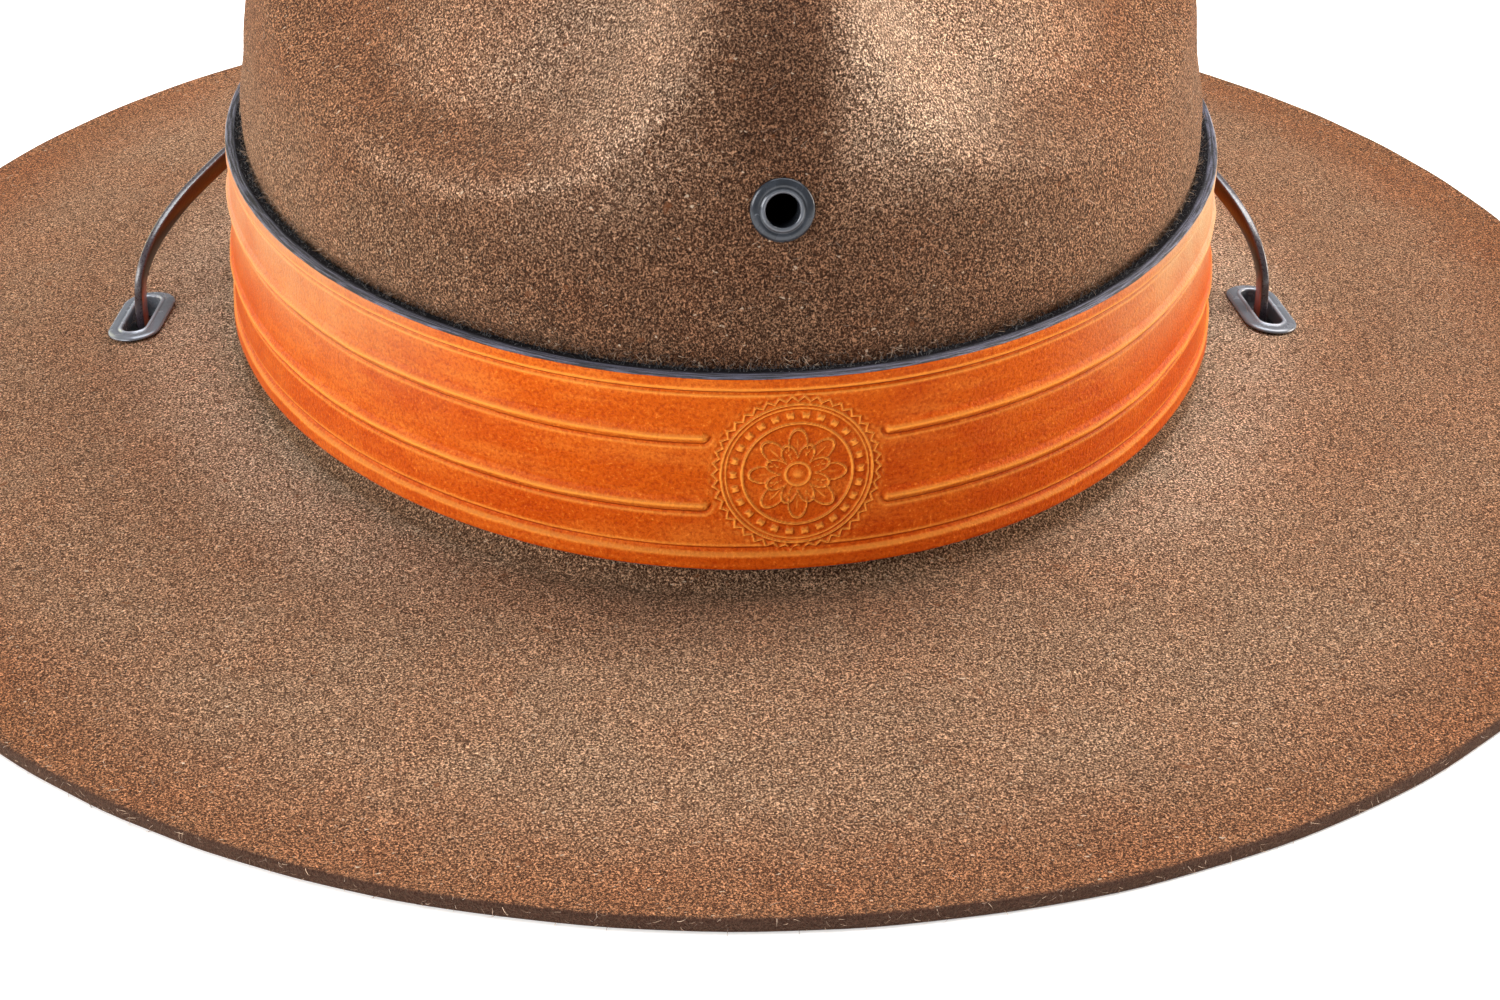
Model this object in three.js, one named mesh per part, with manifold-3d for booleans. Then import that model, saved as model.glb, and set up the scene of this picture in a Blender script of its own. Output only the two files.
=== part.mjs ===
// Campaign hat: a blocked felt hat with a wide flat brim and a peak pinched in at four places,
// a tooled leather band, three metal eyelets and a narrow leather strap that makes one loop.
// Millimetres, +Z up. The front of the hat is towards -Y, it stands on its brim at z = 0, and the
// origin lies in the middle of the brim's outline.

import * as THREE from 'three';
import * as BufferGeometryUtils from 'three/addons/utils/BufferGeometryUtils.js';
import Module from 'manifold-3d';

const wasm = await Module();
wasm.setup();

// Felt
const crownHalfWidth = 86.7; // outside of the felt at the foot of the crown
const crownHalfLength = 104.6;
const crownEgg = 0.039; // how much narrower the crown is in front, and wider behind
const crownHeight = 133; // from the top of the brim to the tip of the peak
const crownLean = 0.022; // how far the wall leans in behind the band, mm for each mm of height
const feltThickness = 2.4;
const brimWidth = 80; // from the foot of the crown to the front edge
const brimRise = 6.9; // height of the brim's underside at the crown
const rimLand = 3; // edge of the brim, pressed flat where it rests
const footRadius = 4.5; // soft corner between brim and crown

// Band
const bandHeight = 33.7;
const bandThickness = 3;
const bandLift = 4.5; // above the top of the brim at the crown
const toolingDepth = 0.45; // beads and raised lines on the leather
const stampWidth = 27.5; // round place at the front where the raised lines stop
const stampMargin = 1.2;

// Eyelets
const crownEyeletWidth = 10;
const crownEyeletBore = 5.2;
const crownEyeletLift = 24.5; // centre above the top of the band
const slotEyeletWidth = 10;
const slotEyeletLength = 20.3;
const slotBore = 4.4; // the long hole's width
const eyeletWall = 0.6;
const eyeletFlange = 0.75;

// Strap
const strapWidth = 3.6;
const strapThickness = 1.5;
const strapBend = 3; // radius under the brim, where it turns out of the eyelet
const strapLie = 0.3; // above the surface that the hat stands on
const keeperLength = 10;
const keeperWall = 0.6;
const keeperReach = 0.6; // share of keeperLength on each side of its middle where the strap lies level

const gap = 0.3; // between neighbouring pieces

// Facets and steps of the curved shapes
const columns = 64; // round the hat
const sectionSteps = 18; // up the crown
const eyeletSides = 20;
const slotEndSides = 8; // round each end of a long eyelet
const holeSides = 20; // of the round hole in the felt
const strapWraps = 10; // strap stations on the band
const strapSteps = 2; // sections of the strap for each of its stations
const halvings = 40; // of an interval, when a place is searched for
const slopeStep = 0.1; // to each side of a place, when a slope is measured
const weldDistance = 1e-4;

// How far the brim reaches beyond the crown, as a share of brimWidth, every 45 degrees from the front
// to the back. Both halves are alike.
const brimReach = [
  { share: 1.0 },
  { share: 1.035 },
  { share: 1.015 },
  { share: 0.99 },
  { share: 0.98 },
];

// Sections of the crown above the band. Height is a share of what is left above the band. Front, side
// and back are the reach of the four ridges, as shares of the crown's outline at the top of the band.
// Pinch is how far the four hollows go in, and edge is where each starts between its two ridges, from
// 0 at a ridge to 1 in the middle of the hollow.
const crownSections = [
  { height: 0.0, front: 1.0, side: 1.0, back: 1.0, pinch: 0.04, edge: 1.0 },
  { height: 0.1, front: 0.988, side: 0.993, back: 0.988, pinch: 0.05, edge: 1.0 },
  { height: 0.19, front: 0.973, side: 0.986, back: 0.973, pinch: 0.065, edge: 0.98 },
  { height: 0.245, front: 0.963, side: 0.981, back: 0.963, pinch: 0.08, edge: 0.84 },
  { height: 0.295, front: 0.953, side: 0.976, back: 0.953, pinch: 0.095, edge: 0.66 },
  { height: 0.35, front: 0.943, side: 0.968, back: 0.943, pinch: 0.11, edge: 0.52 },
  { height: 0.44, front: 0.926, side: 0.948, back: 0.926, pinch: 0.145, edge: 0.36 },
  { height: 0.545, front: 0.887, side: 0.895, back: 0.885, pinch: 0.19, edge: 0.24 },
  { height: 0.65, front: 0.802, side: 0.79, back: 0.798, pinch: 0.24, edge: 0.17 },
  { height: 0.745, front: 0.665, side: 0.64, back: 0.655, pinch: 0.29, edge: 0.12 },
  { height: 0.83, front: 0.485, side: 0.455, back: 0.47, pinch: 0.325, edge: 0.08 },
  { height: 0.9, front: 0.295, side: 0.27, back: 0.28, pinch: 0.33, edge: 0.05 },
  { height: 0.955, front: 0.145, side: 0.13, back: 0.135, pinch: 0.28, edge: 0.02 },
  { height: 0.988, front: 0.055, side: 0.05, back: 0.052, pinch: 0.15, edge: 0.0 },
];
const pinchWall = 0.45; // share of the way between ridges that one side of a hollow takes

// Rings of facets from the flat land in to the crown, as shares of the way, and up its soft corner
const brimRows = [1, 0.66, 0.33, 0];
const footRows = [0.33, 0.67, 1];

// Rounding of an eyelet's section. All are shares of eyeletFlange, but lipSetback is one of eyeletWall.
const eyeletRounding = {
  lipDrop: 0.45, // from the flange's top down to the sharp rim of the hole
  lipSetback: 0.4,
  topSlope: 1.1, // from the outer edge in to where the top is level
  shoulder: 0.3,
  edgeHeight: 0.25,
  undercut: 0.2,
  backSlope: 1.2, // the same below the felt, where the barrel is turned over
  backDepth: 0.6,
};

// The brim's two long eyelets: the way round from the right side in degrees, the distance out from the
// crown as a share of brimWidth, and the turn of the long axis inwards at its back end.
const slotPlaces = [
  { side: 'left', angle: 176.6, out: 0.266, turn: 11 },
  { side: 'right', angle: -4.8, out: 0.188, turn: 5 },
];

// Tooling of the band from its lower edge up: height as a share of bandHeight, proud as a share of
// toolingDepth, and whether the line stops beside the stamp.
const bandTooling = [
  { height: 0.0, proud: -1.0, stops: false },
  { height: 0.015, proud: 0.2, stops: false },
  { height: 0.045, proud: 1.0, stops: false },
  { height: 0.08, proud: 0.7, stops: false },
  { height: 0.1, proud: 0.0, stops: false },
  { height: 0.3, proud: 0.0, stops: false },
  { height: 0.326, proud: 1.0, stops: true },
  { height: 0.352, proud: 0.0, stops: false },
  { height: 0.648, proud: 0.0, stops: false },
  { height: 0.674, proud: 1.0, stops: true },
  { height: 0.7, proud: 0.0, stops: false },
  { height: 0.9, proud: 0.0, stops: false },
  { height: 0.92, proud: 0.7, stops: false },
  { height: 0.955, proud: 1.0, stops: false },
  { height: 0.985, proud: 0.2, stops: false },
  { height: 1.0, proud: -1.0, stops: false },
];

// The strap's free stretch from a brim eyelet to the band: along is the share of the way in plan, up
// the share of the climb from the brim to the middle of the band.
const strapRise = [
  { along: 0.0, up: 0.12 },
  { along: 0.01, up: 0.33 },
  { along: 0.05, up: 0.49 },
  { along: 0.12, up: 0.63 },
  { along: 0.22, up: 0.74 },
  { along: 0.35, up: 0.83 },
  { along: 0.6, up: 0.93 },
];

// The strap's hidden stretch under the brim, from an eyelet to the front: turn is the share of the way
// round, out the share of the way from the eyelet to the line that it keeps under the brim.
const strapRun = [
  { turn: 0.05, out: 0.78 },
  { turn: 0.12, out: 0.97 },
  { turn: 0.22, out: 1.0 },
  { turn: 0.36, out: 1.0 },
  { turn: 0.52, out: 1.0 },
  { turn: 0.68, out: 1.0 },
  { turn: 0.84, out: 1.0 },
];
const strapRunOut = 0.355; // that line's distance from the crown, as a share of brimWidth

const feltMaterial = new THREE.MeshStandardMaterial({ color: 0x6f543f, roughness: 0.95, metalness: 0 });
const bandMaterial = new THREE.MeshStandardMaterial({ color: 0xc4621f, roughness: 0.45, metalness: 0 });
const eyeletMaterial = new THREE.MeshStandardMaterial({ color: 0x33373d, roughness: 0.35, metalness: 0.85 });
const strapMaterial = new THREE.MeshStandardMaterial({ color: 0x3b2620, roughness: 0.4, metalness: 0 });

// Heights and places that follow from the sizes above
const brimTop = feltThickness + brimRise;
const bandBottom = brimTop + bandLift;
const bandTop = bandBottom + bandHeight;
const wallFoot = brimTop + footRadius;
const peakTop = brimTop + crownHeight;
const front = -Math.PI / 2;
const back = Math.PI / 2;
const backShare = brimReach[brimReach.length - 1].share;
const crownShift = (brimWidth * (brimReach[0].share - backShare)) / 2; // centres the brim on the origin
const slotStraight = (slotEyeletLength - slotEyeletWidth) / 2; // half of each long side's straight part
const cutDepth = 3 * feltThickness; // how far a hole's cutter reaches to each side of the felt's outside

const clampIndex = (index, last) => Math.max(0, Math.min(last, index));
const mirrorIndex = (index, last) => (index < 0 ? -index : index > last ? 2 * last - index : index);

function blendRows(table, at, neighbour = clampIndex) {
  const last = table.length - 1;
  const start = Math.max(0, Math.min(last - 1, Math.floor(at)));
  const f = at - start;
  const [a, b, c, d] = [start - 1, start, start + 1, start + 2].map((k) => table[neighbour(k, last)]);
  const row = {};
  for (const name of Object.keys(b)) {
    const slopeB = (c[name] - a[name]) / 2;
    const slopeC = (d[name] - b[name]) / 2;
    const step = c[name] - b[name];
    row[name] = b[name] + f * (slopeB + f * (3 * step - 2 * slopeB - slopeC + f * (slopeB + slopeC - 2 * step)));
  }
  return row;
}

// The crown's oval at its foot, grown outwards by a distance. Angle 0 is the right side, and the angle
// runs by the back.
function outwardAt(angle) {
  const alongX = crownHalfWidth * (-Math.sin(angle) + crownEgg * Math.cos(2 * angle));
  const alongY = crownHalfLength * Math.cos(angle);
  return new THREE.Vector3(alongY, -alongX, 0).normalize();
}

function around(angle, out, z) {
  const x = crownHalfWidth * Math.cos(angle) * (1 + crownEgg * Math.sin(angle));
  const y = crownHalfLength * Math.sin(angle);
  return new THREE.Vector3(x, y + crownShift, z).addScaledVector(outwardAt(angle), out);
}

const leanAt = (z) => -crownLean * Math.max(0, z - wallFoot);

function brimWidthAt(angle) {
  const fromFront = Math.acos(Math.max(-1, Math.min(1, -Math.sin(angle))));
  return brimWidth * blendRows(brimReach, fromFront / (Math.PI / 4), mirrorIndex).share;
}

// Top of the brim at a share of the way from the crown's soft corner to the flat land at the edge
function brimPoint(angle, share) {
  const out = footRadius + share * (brimWidthAt(angle) - rimLand - footRadius);
  return around(angle, out, feltThickness + brimRise * (1 - share));
}

// Outside of the crown above the band, at a place in the table of sections
function crownPoint(angle, at) {
  const row = blendRows(crownSections, at);
  const alongShare = Math.sin(angle) ** 2;
  const endReach = Math.sin(angle) < 0 ? row.front : row.back;
  const reach = row.side * (1 - alongShare) + endReach * alongShare;
  const betweenRidges = Math.abs(Math.sin(2 * angle));
  const intoHollow = THREE.MathUtils.smoothstep(betweenRidges, row.edge, row.edge + pinchWall);
  const share = reach * (1 - row.pinch * intoHollow);
  const outline = around(angle, leanAt(bandTop), 0);
  const z = bandTop + row.height * (peakTop - bandTop);
  return new THREE.Vector3(outline.x * share, crownShift + (outline.y - crownShift) * share, z);
}

function crownPlaceAtHeight(z) {
  let low = 0;
  let high = crownSections.length - 1;
  for (let i = 0; i < halvings; i += 1) {
    const middle = (low + high) / 2;
    if (crownPoint(front, middle).z < z) low = middle;
    else high = middle;
  }
  return low;
}

function meshGeometry(points, triangles) {
  const geometry = new THREE.BufferGeometry();
  geometry.setAttribute('position', new THREE.Float32BufferAttribute(points.flatMap((p) => [p.x, p.y, p.z]), 3));
  geometry.setIndex(triangles);
  return geometry;
}

// A closed skin over rings of points: each ring goes round counterclockwise from above. The last ring
// joins the first, or each end closes on a tip.
function skinRings(rings, tips = null) {
  const count = rings[0].length;
  const points = rings.flat();
  const triangles = [];
  const joins = tips ? rings.length - 1 : rings.length;
  for (let j = 0; j < joins; j += 1) {
    for (let i = 0; i < count; i += 1) {
      const a = j * count + i;
      const b = j * count + ((i + 1) % count);
      const c = ((j + 1) % rings.length) * count + i;
      const d = ((j + 1) % rings.length) * count + ((i + 1) % count);
      triangles.push(a, b, d, a, d, c);
    }
  }
  if (tips) {
    const start = points.length;
    const lastRing = (rings.length - 1) * count;
    points.push(tips[0], tips[1]);
    for (let i = 0; i < count; i += 1) {
      const next = (i + 1) % count;
      triangles.push(start, next, i);
      triangles.push(start + 1, lastRing + i, lastRing + next);
    }
  }
  return meshGeometry(points, triangles);
}

function toSolid(geometry) {
  const bare = geometry.clone();
  bare.deleteAttribute('normal');
  bare.deleteAttribute('uv');
  const merged = BufferGeometryUtils.mergeVertices(bare, weldDistance);
  return new wasm.Manifold(new wasm.Mesh({
    numProp: 3,
    vertProperties: new Float32Array(merged.attributes.position.array),
    triVerts: new Uint32Array(merged.index.array),
  }));
}

function fromSolid(solid) {
  const mesh = solid.getMesh();
  const geometry = new THREE.BufferGeometry();
  geometry.setAttribute('position', new THREE.BufferAttribute(new Float32Array(mesh.vertProperties), 3));
  geometry.setIndex(Array.from(mesh.triVerts));
  return geometry;
}

const ringOf = (pointAt) => Array.from({ length: columns }, (_, i) => pointAt(front + (2 * Math.PI * i) / columns));

// Where an eyelet sits: its centre on the felt's outside, z along the way out and y along its length
function crownEyeletFrame() {
  const place = crownPlaceAtHeight(bandTop + crownEyeletLift);
  const centre = crownPoint(front, place);
  const up = crownPoint(front, place + slopeStep).sub(crownPoint(front, place - slopeStep)).normalize();
  const across = new THREE.Vector3(1, 0, 0);
  return new THREE.Matrix4().makeBasis(across, up, across.clone().cross(up)).setPosition(centre);
}

function slotFrame(place) {
  const angle = THREE.MathUtils.degToRad(place.angle);
  const out = place.out * brimWidth;
  const share = (out - footRadius) / (brimWidthAt(angle) - rimLand - footRadius);
  const centre = brimPoint(angle, share);
  const outward = outwardAt(angle);
  const down = brimPoint(angle, share + slopeStep).sub(brimPoint(angle, share - slopeStep)).normalize();
  const square = new THREE.Vector3(-outward.y, outward.x, 0);
  const normal = down.clone().cross(square).normalize();
  const inwardTurn = THREE.MathUtils.degToRad(place.side === 'left' ? -place.turn : place.turn);
  const along = new THREE.Vector3(0, 1, 0).applyAxisAngle(new THREE.Vector3(0, 0, 1), inwardTurn);
  along.addScaledVector(normal, -along.dot(normal)).normalize();
  return new THREE.Matrix4().makeBasis(along.clone().cross(normal), along, normal).setPosition(centre);
}

// Felt body: crown and brim in one, hollow and open below
function buildFelt() {
  const outer = [
    ringOf((angle) => around(angle, brimWidthAt(angle), feltThickness)),
    ...brimRows.map((share) => ringOf((angle) => brimPoint(angle, share))),
  ];
  const flatRings = outer.length;
  for (const turn of footRows) {
    const lean = (turn * Math.PI) / 2;
    const out = footRadius * (1 - Math.sin(lean));
    outer.push(ringOf((angle) => around(angle, out, wallFoot - footRadius * Math.cos(lean))));
  }
  for (let step = 0; step <= sectionSteps; step += 1) {
    const at = (step / sectionSteps) * (crownSections.length - 1);
    outer.push(ringOf((angle) => crownPoint(angle, at)));
  }
  const tip = new THREE.Vector3(0, crownShift, peakTop);
  const inner = outer.map((ring, j) => ring.map((point, i) => {
    if (j < flatRings - 1) return point.clone().setZ(point.z - feltThickness);
    const beside = ring[(i + 1) % columns].clone().sub(ring[(i + columns - 1) % columns]);
    const above = (outer[j + 1] ?? ring.map(() => tip))[i].clone().sub(outer[j - 1][i]);
    return point.clone().addScaledVector(beside.cross(above).normalize(), -feltThickness);
  }));
  const innerTip = tip.clone().setZ(peakTop - feltThickness);
  const rings = [...inner.reverse(), ...outer];
  let felt = toSolid(skinRings(rings, [innerTip, tip]));
  const holeRadius = crownEyeletBore / 2 + eyeletWall + gap;
  const eyeletHole = new THREE.CylinderGeometry(holeRadius, holeRadius, 2 * cutDepth, holeSides);
  eyeletHole.rotateX(Math.PI / 2);
  felt = felt.subtract(toSolid(eyeletHole.applyMatrix4(crownEyeletFrame())));
  for (const place of slotPlaces) {
    const hole = new THREE.ExtrudeGeometry(
      longShape(slotBore / 2 + eyeletWall + gap),
      { depth: 2 * cutDepth, bevelEnabled: false, curveSegments: slotEndSides },
    );
    hole.translate(0, 0, -cutDepth);
    felt = felt.subtract(toSolid(hole.applyMatrix4(slotFrame(place))));
  }
  return fromSolid(felt);
}

function longShape(radius) {
  const shape = new THREE.Shape();
  shape.absarc(0, slotStraight, radius, 0, Math.PI, false);
  shape.absarc(0, -slotStraight, radius, Math.PI, 2 * Math.PI, false);
  shape.closePath();
  return shape;
}

// Share of the raised lines' height at an angle, 0 across the stamp and 1 away from it
function besideStamp(angle) {
  const away = Math.abs(around(angle, 0, 0).x);
  const clear = Math.sin(angle) < 0 ? away : crownHalfWidth;
  const start = stampWidth / 2;
  return THREE.MathUtils.smoothstep(clear, start - stampMargin, start + stampMargin);
}

function buildBand() {
  const inside = (share) => {
    const z = bandBottom + share * bandHeight;
    return ringOf((angle) => around(angle, gap + leanAt(z), z));
  };
  const rings = bandTooling.map((row) => ringOf((angle) => {
    const z = bandBottom + row.height * bandHeight;
    const proud = row.proud * toolingDepth * (row.stops ? besideStamp(angle) : 1);
    return around(angle, gap + leanAt(z) + bandThickness + proud, z);
  }));
  return skinRings([inside(1), inside(0), ...rings]);
}

// Half of an eyelet's section from the top of its hole, round the flange on top, down the outside of
// the barrel, round the flange below and back up the hole: radius and height above the felt
function eyeletSection(bore, width) {
  const hole = bore / 2;
  const barrel = hole + eyeletWall;
  const edge = width / 2;
  const top = gap + eyeletFlange;
  const below = -feltThickness - gap;
  const round = eyeletRounding;
  const bottom = below - round.backDepth * eyeletFlange;
  return [
    [hole, top - round.lipDrop * eyeletFlange],
    [hole + round.lipSetback * eyeletWall, top],
    [edge - round.topSlope * eyeletFlange, top],
    [edge - round.shoulder * eyeletFlange, top - round.shoulder * eyeletFlange],
    [edge, gap + round.edgeHeight * eyeletFlange],
    [edge - round.undercut * eyeletFlange, gap],
    [barrel, gap],
    [barrel, below],
    [edge - eyeletFlange, below],
    [edge - round.backSlope * eyeletFlange, bottom],
    [hole, bottom],
  ].map(([radius, height]) => new THREE.Vector2(radius, height));
}

function buildCrownEyelet() {
  const section = eyeletSection(crownEyeletBore, crownEyeletWidth).reverse();
  const geometry = new THREE.LatheGeometry([...section, section[0]], eyeletSides);
  return fromSolid(toSolid(geometry.rotateX(Math.PI / 2)));
}

function buildSlotEyelet() {
  const directions = [];
  for (const end of [1, -1]) {
    for (let i = 0; i <= slotEndSides; i += 1) {
      const angle = (i / slotEndSides) * Math.PI + (end < 0 ? Math.PI : 0);
      directions.push({ x: Math.cos(angle), y: Math.sin(angle), end });
    }
  }
  const section = eyeletSection(slotBore, slotEyeletWidth).reverse();
  return skinRings(section.map((point) => directions.map((way) => new THREE.Vector3(
    point.x * way.x,
    point.x * way.y + way.end * slotStraight,
    point.y,
  ))));
}

// The strap's middle line as a list of stations, each with its place and the way its outer side faces
const bandMiddle = bandBottom + bandHeight / 2;
const strapOut = gap + bandThickness + leanAt(bandMiddle) + gap + strapThickness / 2;
const runHeight = strapLie + strapThickness / 2;
const keeperHeight = keeperWall + strapLie + gap + strapThickness / 2;

// Angle at which a straight line from a point outside just touches the strap's line on the band
function touchAngle(point, startAngle) {
  let low = startAngle;
  let high = back;
  for (let i = 0; i < halvings; i += 1) {
    const middle = (low + high) / 2;
    const toPoint = point.clone().sub(around(middle, strapOut, point.z));
    if (outwardAt(middle).dot(toPoint) > 0) low = middle;
    else high = middle;
  }
  return low;
}

// One half of the strap, from the middle of its hidden stretch in front to the place where it meets
// the band behind
function strapHalf(place) {
  const frame = slotFrame(place);
  const centre = new THREE.Vector3().setFromMatrixPosition(frame);
  const side = place.side === 'left' ? -1 : 1;
  const acrossSlot = new THREE.Vector3().setFromMatrixColumn(frame, 0).setZ(0).normalize().multiplyScalar(side);
  const up = new THREE.Vector3(0, 0, 1);
  const slotAngle = THREE.MathUtils.degToRad(place.angle > 90 ? place.angle - 360 : place.angle);
  const stations = [];
  const add = (point, facing) => stations.push({ point, facing: facing.clone() });
  const slotOut = place.out * brimWidth + strapBend;
  const runOut = strapRunOut * brimWidth;
  for (const row of [...strapRun].reverse()) {
    const angle = slotAngle + (front - slotAngle) * row.turn;
    add(around(angle, slotOut + (runOut - slotOut) * row.out, runHeight), up);
  }
  const slant = Math.SQRT1_2;
  const bendStart = runHeight + strapBend;
  add(centre.clone().addScaledVector(acrossSlot, 2 * strapBend).setZ(runHeight), up);
  add(centre.clone().addScaledVector(acrossSlot, strapBend).setZ(runHeight), up);
  const corner = centre.clone().addScaledVector(acrossSlot, strapBend * (1 - slant));
  add(corner.setZ(bendStart - strapBend * slant), acrossSlot.clone().add(up).normalize());
  add(centre.clone().setZ(bendStart), acrossSlot);
  const climb = bandMiddle - centre.z;
  const touch = touchAngle(centre, THREE.MathUtils.degToRad(place.angle));
  const meeting = around(touch, strapOut, 0);
  for (const row of strapRise) {
    const point = centre.clone().lerp(meeting, row.along).setZ(centre.z + row.up * climb);
    add(point, acrossSlot.clone().lerp(outwardAt(touch), row.along).normalize());
  }
  return { stations, touch };
}

function strapStations() {
  const left = strapHalf(slotPlaces[0]);
  const right = strapHalf(slotPlaces[1]);
  const up = new THREE.Vector3(0, 0, 1);
  const underKeeper = [-1, 0, 1].map((way) => {
    const angle = front - (way * keeperReach * keeperLength) / crownHalfWidth;
    return { point: around(angle, strapRunOut * brimWidth, keeperHeight), facing: up.clone() };
  });
  const onBand = Array.from({ length: strapWraps + 1 }, (_, i) => {
    const angle = left.touch + ((right.touch - left.touch) * i) / strapWraps;
    return { point: around(angle, strapOut, bandMiddle), facing: outwardAt(angle) };
  });
  return [...underKeeper, ...left.stations, ...onBand, ...right.stations.reverse()];
}

function buildStrap() {
  const stations = strapStations();
  const line = new THREE.CatmullRomCurve3(stations.map((station) => station.point), true, 'centripetal');
  const faces = new THREE.CatmullRomCurve3(stations.map((station) => station.facing), true, 'catmullrom', 0.5);
  const steps = strapSteps * stations.length;
  const sides = [[-1, 1], [1, 1], [1, -1], [-1, -1]];
  const sections = Array.from({ length: steps }, (_, i) => {
    const share = i / steps;
    const along = line.getTangent(share).normalize();
    const facing = faces.getPoint(share);
    facing.addScaledVector(along, -facing.dot(along)).normalize();
    const across = along.clone().cross(facing);
    const middle = line.getPoint(share);
    return sides.map(([w, t]) => middle.clone()
      .addScaledVector(across, (w * strapWidth) / 2)
      .addScaledVector(facing, (t * strapThickness) / 2));
  });
  return skinRings(sections);
}

function buildKeeper() {
  const innerWidth = strapWidth + 2 * gap;
  const innerHeight = strapThickness + 2 * gap;
  const rectangle = (width, height, Kind) => new Kind([
    new THREE.Vector2(-width / 2, -height / 2),
    new THREE.Vector2(width / 2, -height / 2),
    new THREE.Vector2(width / 2, height / 2),
    new THREE.Vector2(-width / 2, height / 2),
  ]);
  const outline = rectangle(innerWidth + 2 * keeperWall, innerHeight + 2 * keeperWall, THREE.Shape);
  outline.holes.push(rectangle(innerWidth, innerHeight, THREE.Path));
  const geometry = new THREE.ExtrudeGeometry(outline, { depth: keeperLength, bevelEnabled: false });
  return geometry.translate(0, 0, -keeperLength / 2);
}

function keeperFrame() {
  const outward = outwardAt(front).negate();
  const up = new THREE.Vector3(0, 0, 1);
  const frame = new THREE.Matrix4().makeBasis(outward, up, outward.clone().cross(up));
  return frame.setPosition(around(front, strapRunOut * brimWidth, keeperHeight));
}

function addPiece(group, name, geometry, material, frame = null) {
  const mesh = new THREE.Mesh(geometry, material);
  mesh.name = name;
  if (frame) frame.decompose(mesh.position, mesh.quaternion, mesh.scale);
  group.add(mesh);
  return mesh;
}

const hat = new THREE.Group();
addPiece(hat, 'felt_hat', buildFelt(), feltMaterial);
addPiece(hat, 'hat_band', buildBand(), bandMaterial);
addPiece(hat, 'crown_eyelet', buildCrownEyelet(), eyeletMaterial, crownEyeletFrame());
for (const place of slotPlaces) {
  addPiece(hat, `slot_eyelet_${place.side}`, buildSlotEyelet(), eyeletMaterial, slotFrame(place));
}
addPiece(hat, 'chin_strap', buildStrap(), strapMaterial);
addPiece(hat, 'strap_keeper', buildKeeper(), strapMaterial, keeperFrame());

export default hat;
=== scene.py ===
# Dresses the campaign hat: napped felt, tooled leather band, metal eyelets and the leather strap.
# Shapes are worked out in millimetres and turned to metres when a mesh is made.
import math
from types import SimpleNamespace

import bpy
import numpy as np
from mathutils import Matrix, Vector


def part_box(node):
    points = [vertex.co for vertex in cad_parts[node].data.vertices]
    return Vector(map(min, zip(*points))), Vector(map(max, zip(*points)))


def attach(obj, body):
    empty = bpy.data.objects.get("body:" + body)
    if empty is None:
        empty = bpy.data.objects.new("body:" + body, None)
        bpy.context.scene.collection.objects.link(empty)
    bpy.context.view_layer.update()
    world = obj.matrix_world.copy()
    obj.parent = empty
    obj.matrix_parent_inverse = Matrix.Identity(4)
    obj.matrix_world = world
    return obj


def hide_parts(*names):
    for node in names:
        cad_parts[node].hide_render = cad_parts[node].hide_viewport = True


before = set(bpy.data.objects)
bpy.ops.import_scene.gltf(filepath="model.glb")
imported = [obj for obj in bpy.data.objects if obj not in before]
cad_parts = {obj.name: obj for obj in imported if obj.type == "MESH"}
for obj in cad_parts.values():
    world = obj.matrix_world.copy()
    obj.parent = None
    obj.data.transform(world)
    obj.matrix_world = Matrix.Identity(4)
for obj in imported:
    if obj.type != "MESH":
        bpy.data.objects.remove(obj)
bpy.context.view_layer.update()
mm = 0.001
front = -math.pi / 2
back = math.pi / 2

# Camera, at the angle the hat is seen from
cameraPlace = {
    "eye": (-50.6, -541.2, 266.6),
    "aim": (-6.13, -113.3, 30.0),
    "lens": 76.7,  # on a 36 mm sensor
    "roll": 0.35,
}


def addCamera():
    data = bpy.data.cameras.new("hatCamera")
    data.lens = cameraPlace["lens"]
    data.sensor_width = 36.0
    data.clip_start = 0.01
    data.clip_end = 20.0
    camera = bpy.data.objects.new("hatCamera", data)
    bpy.context.collection.objects.link(camera)
    eye = Vector(cameraPlace["eye"]) * mm
    aim = Vector(cameraPlace["aim"]) * mm
    turn = (aim - eye).to_track_quat("-Z", "Y").to_matrix().to_4x4()
    roll = Matrix.Rotation(math.radians(cameraPlace["roll"]), 4, "Z")
    camera.matrix_world = Matrix.Translation(eye) @ turn @ roll
    bpy.context.scene.camera = camera


addCamera()
print("camera set")


# Small helpers for meshes and smooth number work

def smoothStep(x, low, high):
    t = np.clip((x - low) / (high - low), 0.0, 1.0)
    return t * t * (3.0 - 2.0 * t)


def bell(x, centre, width):
    return np.exp(-(((x - centre) / width) ** 2))


def unit(v):
    return v / np.maximum(np.linalg.norm(v, axis=-1, keepdims=True), 1e-9)


def softNoise(points, size, seed, waves=14):
    # a sum of waves in random directions, about -1 to 1, for gentle hand-shaped unevenness
    rng = np.random.default_rng(seed)
    total = np.zeros(points.shape[:-1])
    for _ in range(waves):
        way = unit(rng.normal(size=3))
        pace = 2 * math.pi / size * rng.uniform(0.6, 1.5)
        total += np.sin(points @ way * pace + rng.uniform(0, 6.283))
    return total / math.sqrt(waves)


def blendRows(table, at, mirrored=False):
    last = len(table) - 1
    start = max(0, min(last - 1, int(math.floor(at))))
    f = at - start

    def row(k):
        if mirrored:
            k = -k if k < 0 else (2 * last - k if k > last else k)
        return np.array(table[max(0, min(last, k))], float)

    a, b, c, d = (row(start + k) for k in (-1, 0, 1, 2))
    slopeB = (c - a) / 2
    slopeC = (d - b) / 2
    step = c - b
    return b + f * (slopeB + f * (3 * step - 2 * slopeB - slopeC + f * (slopeB + slopeC - 2 * step)))


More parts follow.
